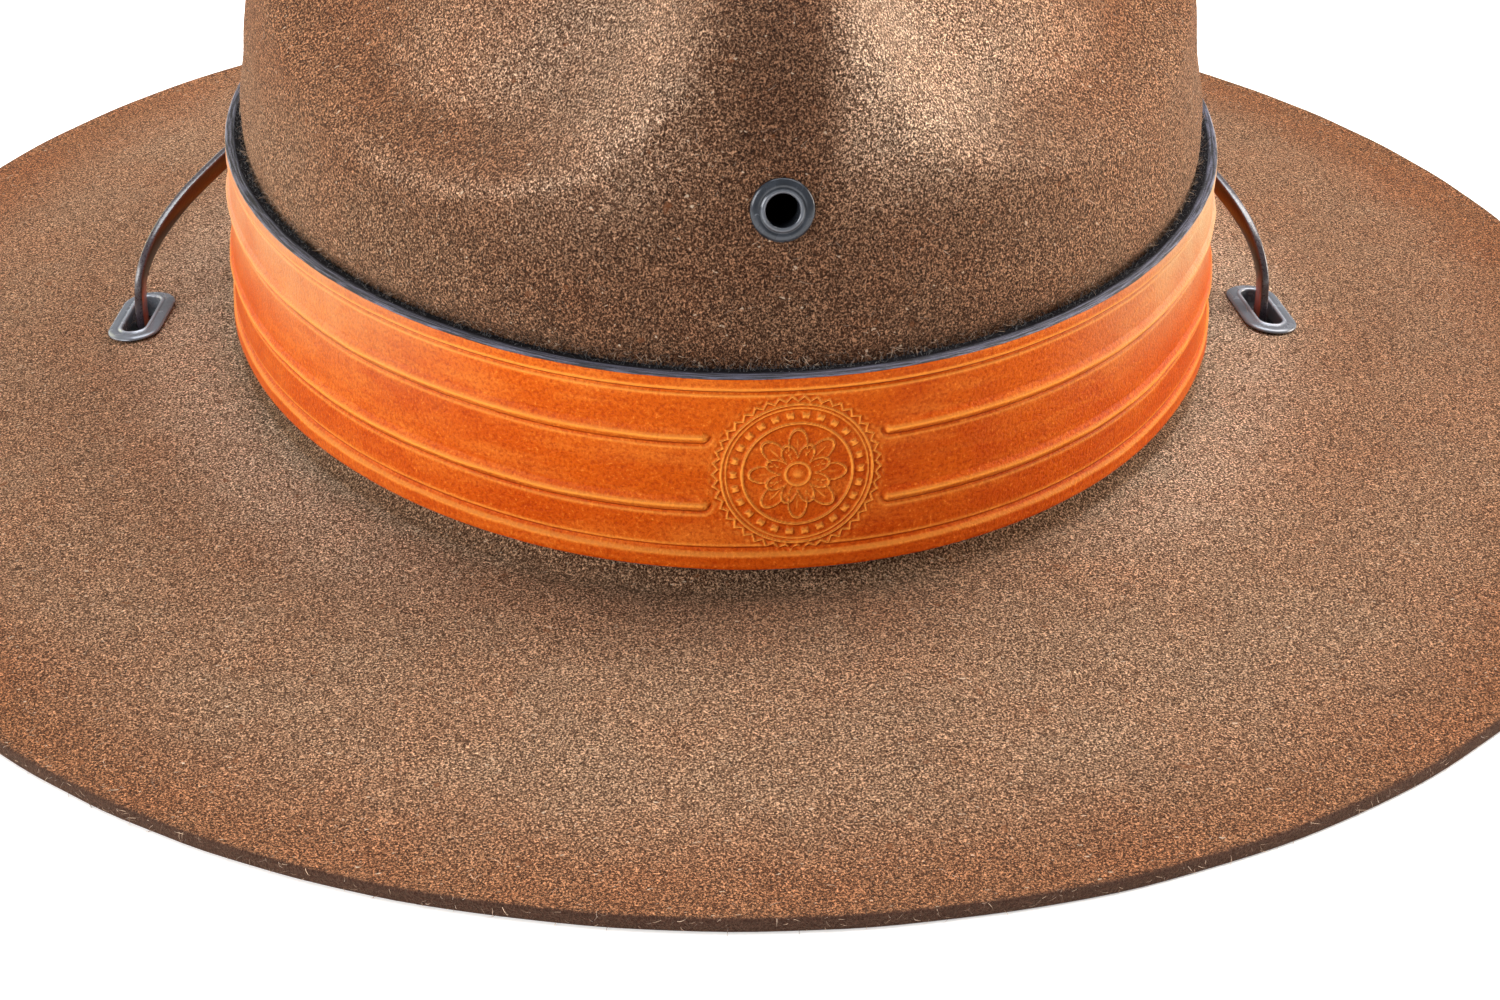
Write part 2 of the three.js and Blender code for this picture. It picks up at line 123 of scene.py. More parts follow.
def halving(low, high, tooLow):
    # the place between low and high where tooLow stops being true
    for _ in range(40):
        middle = (low + high) / 2
        if tooLow(middle):
            low = middle
        else:
            high = middle
    return low


def makeObject(name, points, faces, material, smooth=True):
    mesh = bpy.data.meshes.new(name)
    mesh.from_pydata((np.asarray(points) * mm).tolist(), [], [list(f) for f in faces])
    mesh.update()
    if smooth:
        mesh.shade_smooth()
    mesh.materials.append(material)
    piece = bpy.data.objects.new(name, mesh)
    bpy.context.collection.objects.link(piece)
    return piece


def ringFaces(rings, count, closed=False):
    joins = rings if closed else rings - 1
    j, i = np.meshgrid(np.arange(joins), np.arange(count), indexing="ij")
    nextJ = (j + 1) % rings
    nextI = (i + 1) % count
    quads = np.stack([j * count + i, j * count + nextI, nextJ * count + nextI, nextJ * count + i], -1)
    return quads.reshape(-1, 4)


def giveValues(piece, name, values):
    layer = piece.data.attributes.new(name, "FLOAT", "POINT")
    layer.data.foreach_set("value", np.asarray(values, np.float32).ravel())


def ridesAndReplaces(piece, slotName, *nodes):
    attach(piece, "root")
    if nodes:
        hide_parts(*nodes)


# Materials

def nodeKit(name):
    material = bpy.data.materials.new(name)
    material.use_nodes = True
    tree = material.node_tree
    tree.nodes.clear()
    output = tree.nodes.new("ShaderNodeOutputMaterial")
    shader = tree.nodes.new("ShaderNodeBsdfPrincipled")
    tree.links.new(shader.outputs[0], output.inputs["Surface"])

    def plug(socket, value):
        if isinstance(value, bpy.types.NodeSocket):
            tree.links.new(value, socket)
        else:
            socket.default_value = value

    def add(kind, settings=None, **wires):
        node = tree.nodes.new(kind)
        for key, value in (settings or {}).items():
            setattr(node, key, value)
        for key, value in wires.items():
            numbered = key.startswith("in") and key[2:].isdigit()
            plug(node.inputs[int(key[2:]) if numbered else key.replace("_", " ")], value)
        return node

    def finish(**sockets):
        for key, value in sockets.items():
            plug(shader.inputs[key.replace("_", " ")], value)

    def rgba(colour):
        # one number stands for a grey
        if isinstance(colour, bpy.types.NodeSocket):
            return colour
        return (colour,) * 3 + (1.0,) if isinstance(colour, (int, float)) else (*colour, 1.0)

    def maths(operation, a, b=0.0):
        return add("ShaderNodeMath", {"operation": operation}, in0=a, in1=b).outputs[0]

    def plus(a, b):
        return maths("ADD", a, b)

    def times(a, b):
        return maths("MULTIPLY", a, b)

    def ramp(value, *stops):
        node = add("ShaderNodeValToRGB", None, Fac=value)
        bar = node.color_ramp
        while len(bar.elements) < len(stops):
            bar.elements.new(0.5)
        for element, (place, colour) in zip(bar.elements, stops):
            element.position = place
            element.color = rgba(colour)
        return node.outputs[0]

    def mix(share, a, b, kind="MIX"):
        settings = {"data_type": "RGBA", "blend_type": kind}
        return add("ShaderNodeMix", settings, in0=share, in6=rgba(a), in7=rgba(b)).outputs[2]

    def tinted(share, colour, tint):
        return mix(share, colour, mix(1.0, colour, tint, "MULTIPLY"))

    def noise(vector, scale, detail=2.0, roughness=0.5, distortion=0.0):
        node = add("ShaderNodeTexNoise", None, Vector=vector, Scale=scale, Detail=detail,
                   Roughness=roughness, Distortion=distortion)
        return node.outputs[0]

    def cells(vector, scale, feature="F1"):
        return add("ShaderNodeTexVoronoi", {"feature": feature}, Vector=vector, Scale=scale).outputs[0]

    def stretched(vector, scale, turn=(0.0, 0.0, 0.0)):
        return add("ShaderNodeMapping", None, Vector=vector, Rotation=turn, Scale=scale).outputs[0]

    def value(attribute):
        return add("ShaderNodeAttribute", {"attribute_name": attribute}).outputs["Fac"]

    def bump(height, distance, strength=1.0, normal=None):
        node = add("ShaderNodeBump", None, Height=height, Distance=distance, Strength=strength)
        if normal is not None:
            tree.links.new(normal, node.inputs["Normal"])
        return node.outputs[0]

    return SimpleNamespace(
        material=material, add=add, finish=finish, maths=maths, plus=plus, times=times, ramp=ramp, mix=mix,
        tinted=tinted, noise=noise, cells=cells, stretched=stretched, value=value, bump=bump,
        place=add("ShaderNodeTexCoord").outputs["Object"])


feltLook = {
    "deep": (0.017, 0.006, 0.003),  # between the fibres
    "body": (0.170, 0.082, 0.042),
    "tips": (0.92, 0.60, 0.38),
    "rust": (0.19, 0.060, 0.020),
    "fleck": (0.72, 0.55, 0.40),
    # painted shade on the brim's outward-facing cut edge
    "cutEdge": (0.040, 0.016, 0.010),
    "cutPale": (0.11, 0.050, 0.032),
    "patch": (1.1, 0.80, 0.62),  # this and the next four multiply the colour
    "broad": (0.82, 0.75, 0.7),
    # painted shade
    "shaded": (0.37, 0.285, 0.25),
    "handled": (0.80, 0.54, 0.37),
    # painted light, on the pinches and on the brim beside the band
    "rubbed": (1.72, 2.08, 2.50),
    "patchScale": 60.0,  # this and the next five count waves to a metre
    "broadScale": 11.0,
    "speckScale": 420.0,
    "fleckScale": (700.0, 2100.0, 1200.0),
    "warpScale": 1500.0,
    "curl": 2500.0,
    "curlBend": 0.0005,
    "hairWidth": 0.10,
    "hairs": (  # turn, stretch and strength of each layer of fibres
        ((0.3, 0.2, 0.4), (1.0, 1.0, 0.75), 1.0),
        ((1.1, 0.5, 1.6), (1.3, 1.25, 1.0), 0.8),
        ((0.2, 1.9, 2.7), (1.5, 1.4, 1.3), 0.6),
    ),
    "sheen": 0.12,
    "sheenTint": (0.95, 0.72, 0.5, 1.0),
}


def makeFelt(name):
    k = nodeKit(name)
    look = feltLook
    curl = look["curl"]
    # curly fibres: the lines where a soft noise passes its middle value, in three layers
    warp = k.add("ShaderNodeTexNoise", None, Vector=k.place, Scale=look["warpScale"], Detail=1.0)
    bent = k.add("ShaderNodeVectorMath", {"operation": "SCALE"}, in0=warp.outputs["Color"],
                 Scale=look["curlBend"]).outputs[0]
    bent = k.add("ShaderNodeVectorMath", {"operation": "ADD"}, in0=k.place, in1=bent).outputs[0]
    hairs = 0.0
    for turn, stretch, strength in look["hairs"]:
        way = k.stretched(bent, tuple(curl * amount for amount in stretch), turn)
        away = k.maths("ABSOLUTE", k.maths("SUBTRACT", k.noise(way, 1.0, 1.0, 0.4), 0.5))
        line = k.ramp(away, (0.0, 1), (look["hairWidth"], 0))
        hairs = k.maths("MAXIMUM", hairs, k.times(line, strength))
    broken = k.ramp(k.noise(k.place, curl * 1.1), (0.36, 0.25), (0.6, 1))
    low = k.noise(bent, curl * 1.5, 2.0, 0.65)
    nap = k.plus(k.times(k.times(hairs, broken), 0.62), k.times(low, 0.55))
    napValue = k.ramp(nap, (0.29, 0), (0.5, 0.38), (0.75, 1))
    patch = k.ramp(k.noise(k.place, look["patchScale"], 4.0, 0.65), (0.4, 0), (0.75, 1))
    broad = k.ramp(k.noise(k.place, look["broadScale"]), (0.3, 0), (0.7, 1))
    colour = k.ramp(napValue, (0.0, look["deep"]), (0.42, look["body"]), (1.0, look["tips"]))
    colour = k.tinted(k.times(patch, 0.45), colour, look["patch"])
    colour = k.tinted(k.times(broad, 0.35), colour, look["broad"])
    # darker for painted shade at the front and by the band, warmer and darker towards the brim's edge and on
    # the crown, and paler for painted light on the pinches and beside the band
    for paint in ("shaded", "handled", "rubbed"):
        colour = k.tinted(k.value(paint), colour, look[paint])
    flecks = k.noise(k.stretched(bent, look["fleckScale"], (0.4, 0.3, 0.9)), 1.0, 1.0)
    colour = k.mix(k.times(k.ramp(flecks, (0.73, 0), (0.76, 1)), 0.8), colour, look["fleck"])
    specks = k.ramp(k.noise(k.place, look["speckScale"], 1.0), (0.735, 0), (0.76, 1))
    colour = k.mix(k.times(specks, 0.6), colour, look["rust"])
    # painted shade on the cut edge of the brim
    colour = k.mix(k.value("cutEdge"), colour, k.mix(napValue, look["cutEdge"], look["cutPale"]))
    k.finish(Base_Color=colour, Roughness=0.95, Specular_IOR_Level=0.12, Sheen_Weight=look["sheen"],
             Sheen_Roughness=0.4, Sheen_Tint=look["sheenTint"], Normal=k.bump(nap, 0.0005))
    return k.material


hairLook = {  # darkest and palest hair
    "felt": ((0.12, 0.055, 0.028), (0.72, 0.50, 0.34)),
    "flesh": ((0.008, 0.008, 0.01), (0.03, 0.03, 0.035)),
}


def makeHairs(name, dark, light):
    k = nodeKit(name)
    middle = tuple((a + b) / 2 for a, b in zip(dark, light))
    colour = k.ramp(k.value("strand"), (0.0, dark), (0.6, middle), (1.0, light))
    k.finish(Base_Color=colour, Roughness=0.8, Specular_IOR_Level=0.2, Sheen_Weight=0.3,
             Normal=k.bump(k.noise(k.place, 4000.0, 1.0), 0.0001, 0.3))
    return k.material


leatherLook = {
    "field": (0.58, 0.103, 0.0035),
    "deep": (0.43, 0.044, 0.0015),
    "worn": (0.90, 0.33, 0.050),  # paler streaks, and the crests of the beads and lines, partly worn and partly painted highlight
    "speck": (0.90, 0.30, 0.04),
    # painted shade in the grooves
    "crease": (0.16, 0.016, 0.002),
    "faded": (0.50, 0.33, 0.17),  # painted sheen on the upper part at the sides
    "dye": (0.005, 0.006, 0.010),  # blackened edges
    # painted highlight in the strands along the dyed edges
    "dyeHighlight": (0.110, 0.112, 0.165),
    "flesh": (0.010, 0.009, 0.011),
    "richer": (0.88, 0.62, 0.36),  # multiplies the colour, most near the lower edge
    "grainTint": (0.66, 0.46, 0.36),  # multiplies the colour in the fine grain
    "mottles": 85.0,  # this and the next five count waves or cells to a metre
    "clouds": 26.0,
    "streaks": (40.0, 40.0, 190.0),
    "grain": 1700.0,
    "wrinkles": 1500.0,
    "pores": 2600.0,
}


def makeBandLeather(name):
    k = nodeKit(name)
    look = leatherLook
    height, crest, inside = k.value("height"), k.value("crest"), k.value("inside")
    mottle = k.noise(k.place, look["mottles"], 5.0, 0.65, 0.4)
    clouds = k.noise(k.place, look["clouds"], 3.0, 0.6)
    streak = k.noise(k.stretched(k.place, look["streaks"]), 1.0, 5.0, 0.65)
    fine = k.noise(k.place, look["grain"], 3.0, 0.65)
    colour = k.mix(k.ramp(mottle, (0.3, 0), (0.66, 1)), look["deep"], look["field"])
    colour = k.mix(k.ramp(clouds, (0.35, 0.8), (0.65, 0.3)), colour, look["field"])
    colour = k.mix(k.ramp(streak, (0.48, 0), (0.75, 0.35)), colour, look["worn"])
    colour = k.tinted(k.ramp(height, (0.0, 0.65), (0.5, 0.25), (1.0, 0)), colour, look["richer"])
    colour = k.tinted(k.ramp(fine, (0.36, 0.8), (0.52, 0)), colour, look["grainTint"])
    # speckles of paler leather, thick on the crests and thin on the field
    speckle = k.ramp(k.plus(fine, k.times(crest, 0.16)), (0.60, 0), (0.73, 1))
    # paler crests, partly the leather's own wear and partly painted highlight
    colour = k.mix(k.times(crest, 0.9), colour, look["worn"])
    colour = k.mix(k.times(speckle, 0.5), colour, look["speck"])
    # painted shade in the grooves, strongest on the lower side of each raised line and bead
    colour = k.mix(k.times(k.value("groove"), 0.7), colour, look["crease"])
    # painted sheen pales the upper part of the band at the sides
    faded = k.times(k.value("faded"), k.ramp(mottle, (0.3, 0.6), (0.6, 1)))
    colour = k.mix(faded, colour, look["faded"])
    # the dyed edges have an uneven border, and glossier strands along them with a painted bluish highlight
    dyed = k.plus(k.value("edge"), k.times(k.maths("SUBTRACT", mottle, 0.5), 0.5))
    dyed = k.ramp(dyed, (0.42, 0), (0.52, 1))
    strands = k.add("ShaderNodeCombineXYZ", None, X=k.times(k.value("along"), 0.12),
                    Y=k.times(k.value("depth"), 3.2), Z=k.times(height, 9.0)).outputs[0]
    streaks = k.noise(strands, 1.0, 4.0, 0.7)
    shine = k.ramp(streaks, (0.44, 0), (0.58, 1))
    colour = k.mix(dyed, colour, k.mix(shine, look["dye"], look["dyeHighlight"]))
    rough = k.mix(dyed, k.ramp(fine, (0.3, 0.30), (0.7, 0.5)), k.mix(shine, 0.6, 0.28))
    grain = k.bump(k.cells(k.place, look["pores"]), 0.00010, 0.5)
    grain = k.bump(k.cells(k.place, look["wrinkles"], "DISTANCE_TO_EDGE"), 0.00007, 0.45, grain)
    grain = k.bump(fine, 0.00030, 0.6, grain)
    k.finish(Base_Color=k.mix(inside, colour, look["flesh"]), Roughness=k.mix(inside, rough, 0.9),
             Specular_IOR_Level=k.mix(inside, k.mix(dyed, 0.07, 0.5), 0.06),
             Normal=k.bump(k.times(streaks, dyed), 0.0005, 0.8, grain))
    return k.material


strapLook = {
    "grain": (0.070, 0.048, 0.054),
    "grainWarm": (0.085, 0.050, 0.048),
    "edge": (0.030, 0.021, 0.028),
    "flesh": (0.009, 0.005, 0.008),
    "fleshDeep": (0.005, 0.003, 0.005),
    "worn": (0.40, 0.085, 0.028),  # painted reflection of the orange band on the flesh side, near where it goes through the brim
    "mottles": 260.0,  # this and the next two count waves or cells to a metre
    "fine": 2200.0,
    "cracks": 900.0,
}


def makeStrapLeather(name):
    k = nodeKit(name)
    look = strapLook
    fleshSide = k.value("fleshSide")
    mottle = k.noise(k.place, look["mottles"], 4.0, 0.6)
    fine = k.noise(k.place, look["fine"], 2.0, 0.6)
    colour = k.mix(k.ramp(mottle, (0.4, 0), (0.75, 1)), look["grain"], look["grainWarm"])
    flesh = k.mix(k.ramp(fine, (0.35, 0), (0.65, 1)), look["fleshDeep"], look["flesh"])
    # painted reflection of the band's orange on the flesh side near the brim
    worn = k.times(k.value("worn"), k.ramp(mottle, (0.3, 0.3), (0.6, 1)))
    colour = k.mix(fleshSide, colour, k.mix(worn, flesh, look["worn"]))
    colour = k.mix(k.value("edge"), colour, look["edge"])
    rough = k.mix(fleshSide, k.ramp(fine, (0.3, 0.22), (0.7, 0.4)), 0.6)
    surface = k.bump(k.cells(k.place, look["cracks"], "DISTANCE_TO_EDGE"), 0.00012, 0.35)
    k.finish(Base_Color=colour, Roughness=rough, Coat_Weight=0.8, Coat_Roughness=0.22,
             Normal=k.bump(fine, 0.00012, 0.5, surface))
    return k.material


metalLook = {
    "dark": (0.016, 0.019, 0.025),
    "light": (0.040, 0.047, 0.060),
    # paler where scratched, and the painted highlight and reflection on the lips
    "rubbed": (0.40, 0.43, 0.49),
    "clouds": 260.0,  # this and the next count waves to a metre
    "scratches": (300.0, 5200.0, 900.0),
}


def makeGunmetal(name):
    k = nodeKit(name)
    look = metalLook
    cloudy = k.noise(k.place, look["clouds"], 3.0, 0.6)
    scratches = k.noise(k.stretched(k.place, look["scratches"], (0.3, 0.5, 0.7)), 1.0)
    colour = k.mix(k.ramp(cloudy, (0.35, 0), (0.7, 1)), look["dark"], look["light"])
    colour = k.mix(k.ramp(scratches, (0.70, 0), (0.78, 0.4)), colour, look["rubbed"])
    # painted highlight on the rolled lip, and painted reflection that makes the slot eyelets paler
    colour = k.mix(k.times(k.value("lip"), 0.7), colour, look["rubbed"])
    k.finish(Base_Color=colour, Metallic=0.3, Specular_IOR_Level=0.3,
             Roughness=k.ramp(cloudy, (0.3, 0.20), (0.7, 0.30)), Coat_Weight=0.3, Coat_Roughness=0.12,
             Normal=k.bump(scratches, 0.00002, 0.3))
    return k.material


felt = makeFelt("feltNapped")
feltHairs = makeHairs("feltHairs", *hairLook["felt"])
bandLeather = makeBandLeather("bandLeather")
fleshHairs = makeHairs("fleshHairs", *hairLook["flesh"])
strapLeather = makeStrapLeather("strapLeather")
gunmetal = makeGunmetal("gunmetal")
print("materials made")


# The hat's own shape, the same sizes and sections as the solids
hat = {
    "halfWidth": 86.7,
    "halfLength": 104.6,
    "egg": 0.039,
    "lean": 0.022,
    "felt": 2.4,
    "brim": 80.0,
    "rise": 6.9,
    "land": 3.0,
    "foot": 4.5,
    "top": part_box("felt_hat")[1].z / mm,
    "bandBottom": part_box("hat_band")[0].z / mm,
    "bandTop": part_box("hat_band")[1].z / mm,
}
hat["brimTop"] = hat["felt"] + hat["rise"]
hat["wallFoot"] = hat["brimTop"] + hat["foot"]

brimReach = [(1.0,), (1.035,), (1.015,), (0.99,), (0.98,)]  # every 45 degrees from front to back
hat["shift"] = hat["brim"] * (brimReach[0][0] - brimReach[-1][0]) / 2

# height, front, side and back reach, depth of the pinches, and where they start between the ridges
crownSections = [
    (0.0, 1.0, 1.0, 1.0, 0.04, 1.0),
    (0.1, 0.988, 0.993, 0.988, 0.05, 1.0),
    (0.19, 0.973, 0.986, 0.973, 0.065, 0.98),
    (0.245, 0.963, 0.981, 0.963, 0.08, 0.84),
    (0.295, 0.953, 0.976, 0.953, 0.095, 0.66),
    (0.35, 0.943, 0.968, 0.943, 0.11, 0.52),
    (0.44, 0.926, 0.948, 0.926, 0.145, 0.36),
    (0.545, 0.887, 0.895, 0.885, 0.19, 0.24),
    (0.65, 0.802, 0.79, 0.798, 0.24, 0.17),
    (0.745, 0.665, 0.64, 0.655, 0.29, 0.12),
    (0.83, 0.485, 0.455, 0.47, 0.325, 0.08),
    (0.9, 0.295, 0.27, 0.28, 0.33, 0.05),
    (0.955, 0.145, 0.13, 0.135, 0.28, 0.02),
    (0.988, 0.055, 0.05, 0.052, 0.15, 0.0),
]
pinchWall = 0.45


def outwardAt(angle):
    alongX = hat["halfWidth"] * (-np.sin(angle) + hat["egg"] * np.cos(2 * angle))
    alongY = hat["halfLength"] * np.cos(angle)
    return unit(np.stack([alongY, -alongX, np.zeros_like(alongX)], -1))


def around(angle, out, z):
    angle = np.asarray(angle, float)
    x = hat["halfWidth"] * np.cos(angle) * (1 + hat["egg"] * np.sin(angle))
    y = hat["halfLength"] * np.sin(angle) + hat["shift"]
    base = np.stack([x, y, np.broadcast_to(z, angle.shape) + 0.0 * x], -1)
    return base + outwardAt(angle) * np.broadcast_to(out, angle.shape)[..., None]


def leanAt(z):
    return -hat["lean"] * np.maximum(0.0, z - hat["wallFoot"])


def brimWidthAt(angle):
    fromFront = np.arccos(np.clip(-np.sin(angle), -1, 1)) / (math.pi / 4)
    reach = [blendRows(brimReach, at, True)[0] for at in np.ravel(fromFront)]
    return hat["brim"] * np.reshape(reach, np.shape(angle))


def brimPoint(angle, share):
    out = hat["foot"] + share * (brimWidthAt(angle) - hat["land"] - hat["foot"])
    return around(angle, out, hat["felt"] + hat["rise"] * (1 - share))


def crownPoint(angle, at):
    height, frontReach, sideReach, backReach, pinch, edge = blendRows(crownSections, at)
    alongShare = np.sin(angle) ** 2
    endReach = np.where(np.sin(angle) < 0, frontReach, backReach)
    reach = sideReach * (1 - alongShare) + endReach * alongShare
    between = np.abs(np.sin(2 * angle))
    share = reach * (1 - pinch * smoothStep(between, edge, edge + pinchWall))
    outline = around(angle, leanAt(hat["bandTop"]), 0.0)
    z = hat["bandTop"] + height * (hat["top"] - hat["bandTop"])
    return np.stack([outline[..., 0] * share,
                     hat["shift"] + (outline[..., 1] - hat["shift"]) * share,
                     np.full(np.shape(angle), z)], -1)


def gridNormals(grid):
    # grid is rings by points by 3, rings run from the brim up to the peak
    beside = np.roll(grid, -1, 1) - np.roll(grid, 1, 1)
    above = np.gradient(grid, axis=0)
    return unit(np.cross(beside, above))


bandPiece = {
    "thick": 3.0,
    "gap": 0.3,
    "rowStep": 0.17,
    "stampStep": 0.17,
    "columnStep": 3.0,
    "bead": 0.42,
    "beadWidth": 2.7,
    "crease": 0.34,
    "line": 0.62,
    "lineWidth": 0.78,
    "lines": (0.340, 0.690),  # from the lower edge, as shares of the height
    "corner": 0.55,
    "stampAcross": 2.0,  # middle of the stamp, beside the hat's own middle
    "stampDepth": 0.40,
    "grooveFull": 0.11,  # mm below its surroundings where the painted shade in the grooves is darkest
    "crestFull": 0.10,
    "lineStop": 14.6,  # the lines end this far from the stamp's middle
    "fineReach": 15.2,  # columns are close together up to here beside the stamp
    "seam": 0.9,  # depth of the butt seam behind
    "wave": (0.10, 55.0),  # amount and size in mm of the unevenness by hand, here and in the next two
    "drift": (0.14, 30.0),  # of the tooled lines up and down
    "wear": (0.12, 9.0),  # of the lines' height, as a share
}

feltPiece = {
    "columns": 288,
    "edgeRound": 0.5,
    "brimRows": 44,
    "footRows": 9,
    "wallRows": 8,
    "crownRows": 104,
    "insideStep": 3,  # every third ring is enough inside
    "unevenness": 0.16,  # mm, hand-blocked felt is never quite true
    "unevenSizes": (34.0, 13.0),  # mm, the second half as strong
    "rimUneven": 0.12,
    "swell": 1.4,
    "cutEdge": (0.5, 0.8, 1, 1, 1, 1, 1, 1, 0.75, 0.3),  # how much painted shade the cut edge gets, from below to above
}

# How far the felt is made warmer, darker with painted shade, and paler with painted light; pairs are where
# each fades
feltPaint = {
    "atEdge": 0.85,
    "edgeReach": (2.0, 30.0),  # mm in from the brim's edge
    "crownWarmth": 0.3,
    "sideWarmth": 0.45,
    "brimWarmth": 0.3,
    "brimWarmthReach": (8.0, 26.0),  # mm out from the band
    "overBand": 0.8,
    "underBand": 0.35,
    "underBandReach": (6.0, 26.0),
    "frontRidge": 0.25,
    "frontWall": 0.50,
    "darkest": 0.9,
    "ridgeLeft": 0.15,
    "ridgeRight": 0.62,  # added right of the front ridge
    "shoulder": 0.75,
    "dent": -0.05,
    "besideBand": 0.7,
    "besideBandReach": (4.0, 30.0),
    "pinchFoot": (66.0, 84.0),  # heights
    "leftLower": 9.0,  # the left pinch reaches further down
}


def outerFeltRings():
    p = feltPiece
    angles = front + 2 * math.pi * np.arange(p["columns"]) / p["columns"]
    width = brimWidthAt(angles)
    rings = [brimPoint(angles, 1 - i / p["brimRows"]) for i in range(p["brimRows"])]
    for i in range(p["footRows"] + 1):
        lean = (i / p["footRows"]) * math.pi / 2
        out = hat["foot"] * (1 - math.sin(lean))
        rings.append(around(angles, out, hat["wallFoot"] - hat["foot"] * math.cos(lean)))
    for i in range(1, p["wallRows"]):
        z = hat["wallFoot"] + (hat["bandTop"] - hat["wallFoot"]) * i / p["wallRows"]
        rings.append(around(angles, leanAt(z), z))
    last = len(crownSections) - 1
    for i in range(p["crownRows"] + 1):
        rings.append(crownPoint(angles, last * i / p["crownRows"]))
    return angles, width, np.array(rings)


def buildFelt():
    p = feltPiece
    angles, width, outer = outerFeltRings()
    normals = gridNormals(outer)
    z = outer[..., 2]
    free = smoothStep(z, hat["bandTop"] + 1, hat["bandTop"] + 8)
    free = free + (z < hat["brimTop"]) * smoothStep(z, hat["felt"], hat["felt"] + 1.5)
    tipFade = 1 - smoothStep(z, hat["top"] - 6, hat["top"])
    large, small = p["unevenSizes"]
    uneven = softNoise(outer, large, 3) + 0.5 * softNoise(outer, small, 8)
    # the felt swells a little over the band's top edge at the sides
    besideFront = np.abs(np.cos(angles))[None, :]
    swell = p["swell"] * smoothStep(besideFront, 0.1, 0.55)
    swell = swell * (1 - 0.45 * smoothStep(besideFront, 0.8, 1.0))
    swell = swell * bell(z, hat["bandTop"] + 6, 6.5) * (z > hat["bandTop"])
    swell = swell * smoothStep(z, hat["bandTop"], hat["bandTop"] + 2)
    skin = outer + normals * (p["unevenness"] * uneven * free * tipFade + swell)[..., None]

    # edge of the brim: a raw cut with slightly softened corners, then the flat land under it
    r = p["edgeRound"]
    rimOut = width + p["rimUneven"] * softNoise(around(angles, width, 0.0), 22.0, 5)
    edgeRings = []
    for z0, turnStart in ((hat["felt"] - r, 90.0), (r, 0.0)):
        for k in range(5):
            turn = math.radians(turnStart - k * 22.5)
            edgeRings.append(around(angles, rimOut - r + r * math.cos(turn), z0 + r * math.sin(turn)))
    topLand = around(angles, width - 0.4 * hat["land"], hat["felt"])
    under = around(angles, width - hat["land"], 0.0)

    inside = skin[::p["insideStep"]].copy()
    insideNormals = normals[::p["insideStep"]].copy()
    flat = inside[..., 2] <= hat["brimTop"] + 1e-6
    insideNormals[flat] = (0, 0, 1)
    inside -= insideNormals * hat["felt"]
    tipTop = np.array([[0.0, hat["shift"], hat["top"]]])
    tipUnder = np.array([[0.0, hat["shift"], hat["top"] - hat["felt"]]])

    # from the inner tip down, out along the underside, round the edge and up to the outer tip
    rings = [*inside[::-1], under, *edgeRings[::-1], topLand, *skin]
    count = p["columns"]
    points = np.concatenate([np.concatenate(rings), tipUnder, tipTop])
    faces = ringFaces(len(rings), count).tolist()
    start = len(rings) * count
    lastRing = (len(rings) - 1) * count
    for i in range(count):
        j = (i + 1) % count
        faces.append((start, j, i))
        faces.append((start + 1, lastRing + i, lastRing + j))
    piece = makeObject("felt_body", points, faces, felt)
    firstEdge = (len(inside) + 1) * count
    firstSkin = (len(rings) - len(skin)) * count
    cut = np.zeros(len(points))
    cut[firstEdge:firstEdge + len(edgeRings) * count] = np.repeat(p["cutEdge"], count)
    giveValues(piece, "cutEdge", cut)
    for name, atEdge, mask in paintFelt(skin, normals, angles, width):
        values = np.zeros(len(points))
        values[firstEdge:firstSkin] = atEdge
        values[firstSkin:firstSkin + mask.size] = mask.ravel()
        giveValues(piece, name, values)
    return piece, skin, normals


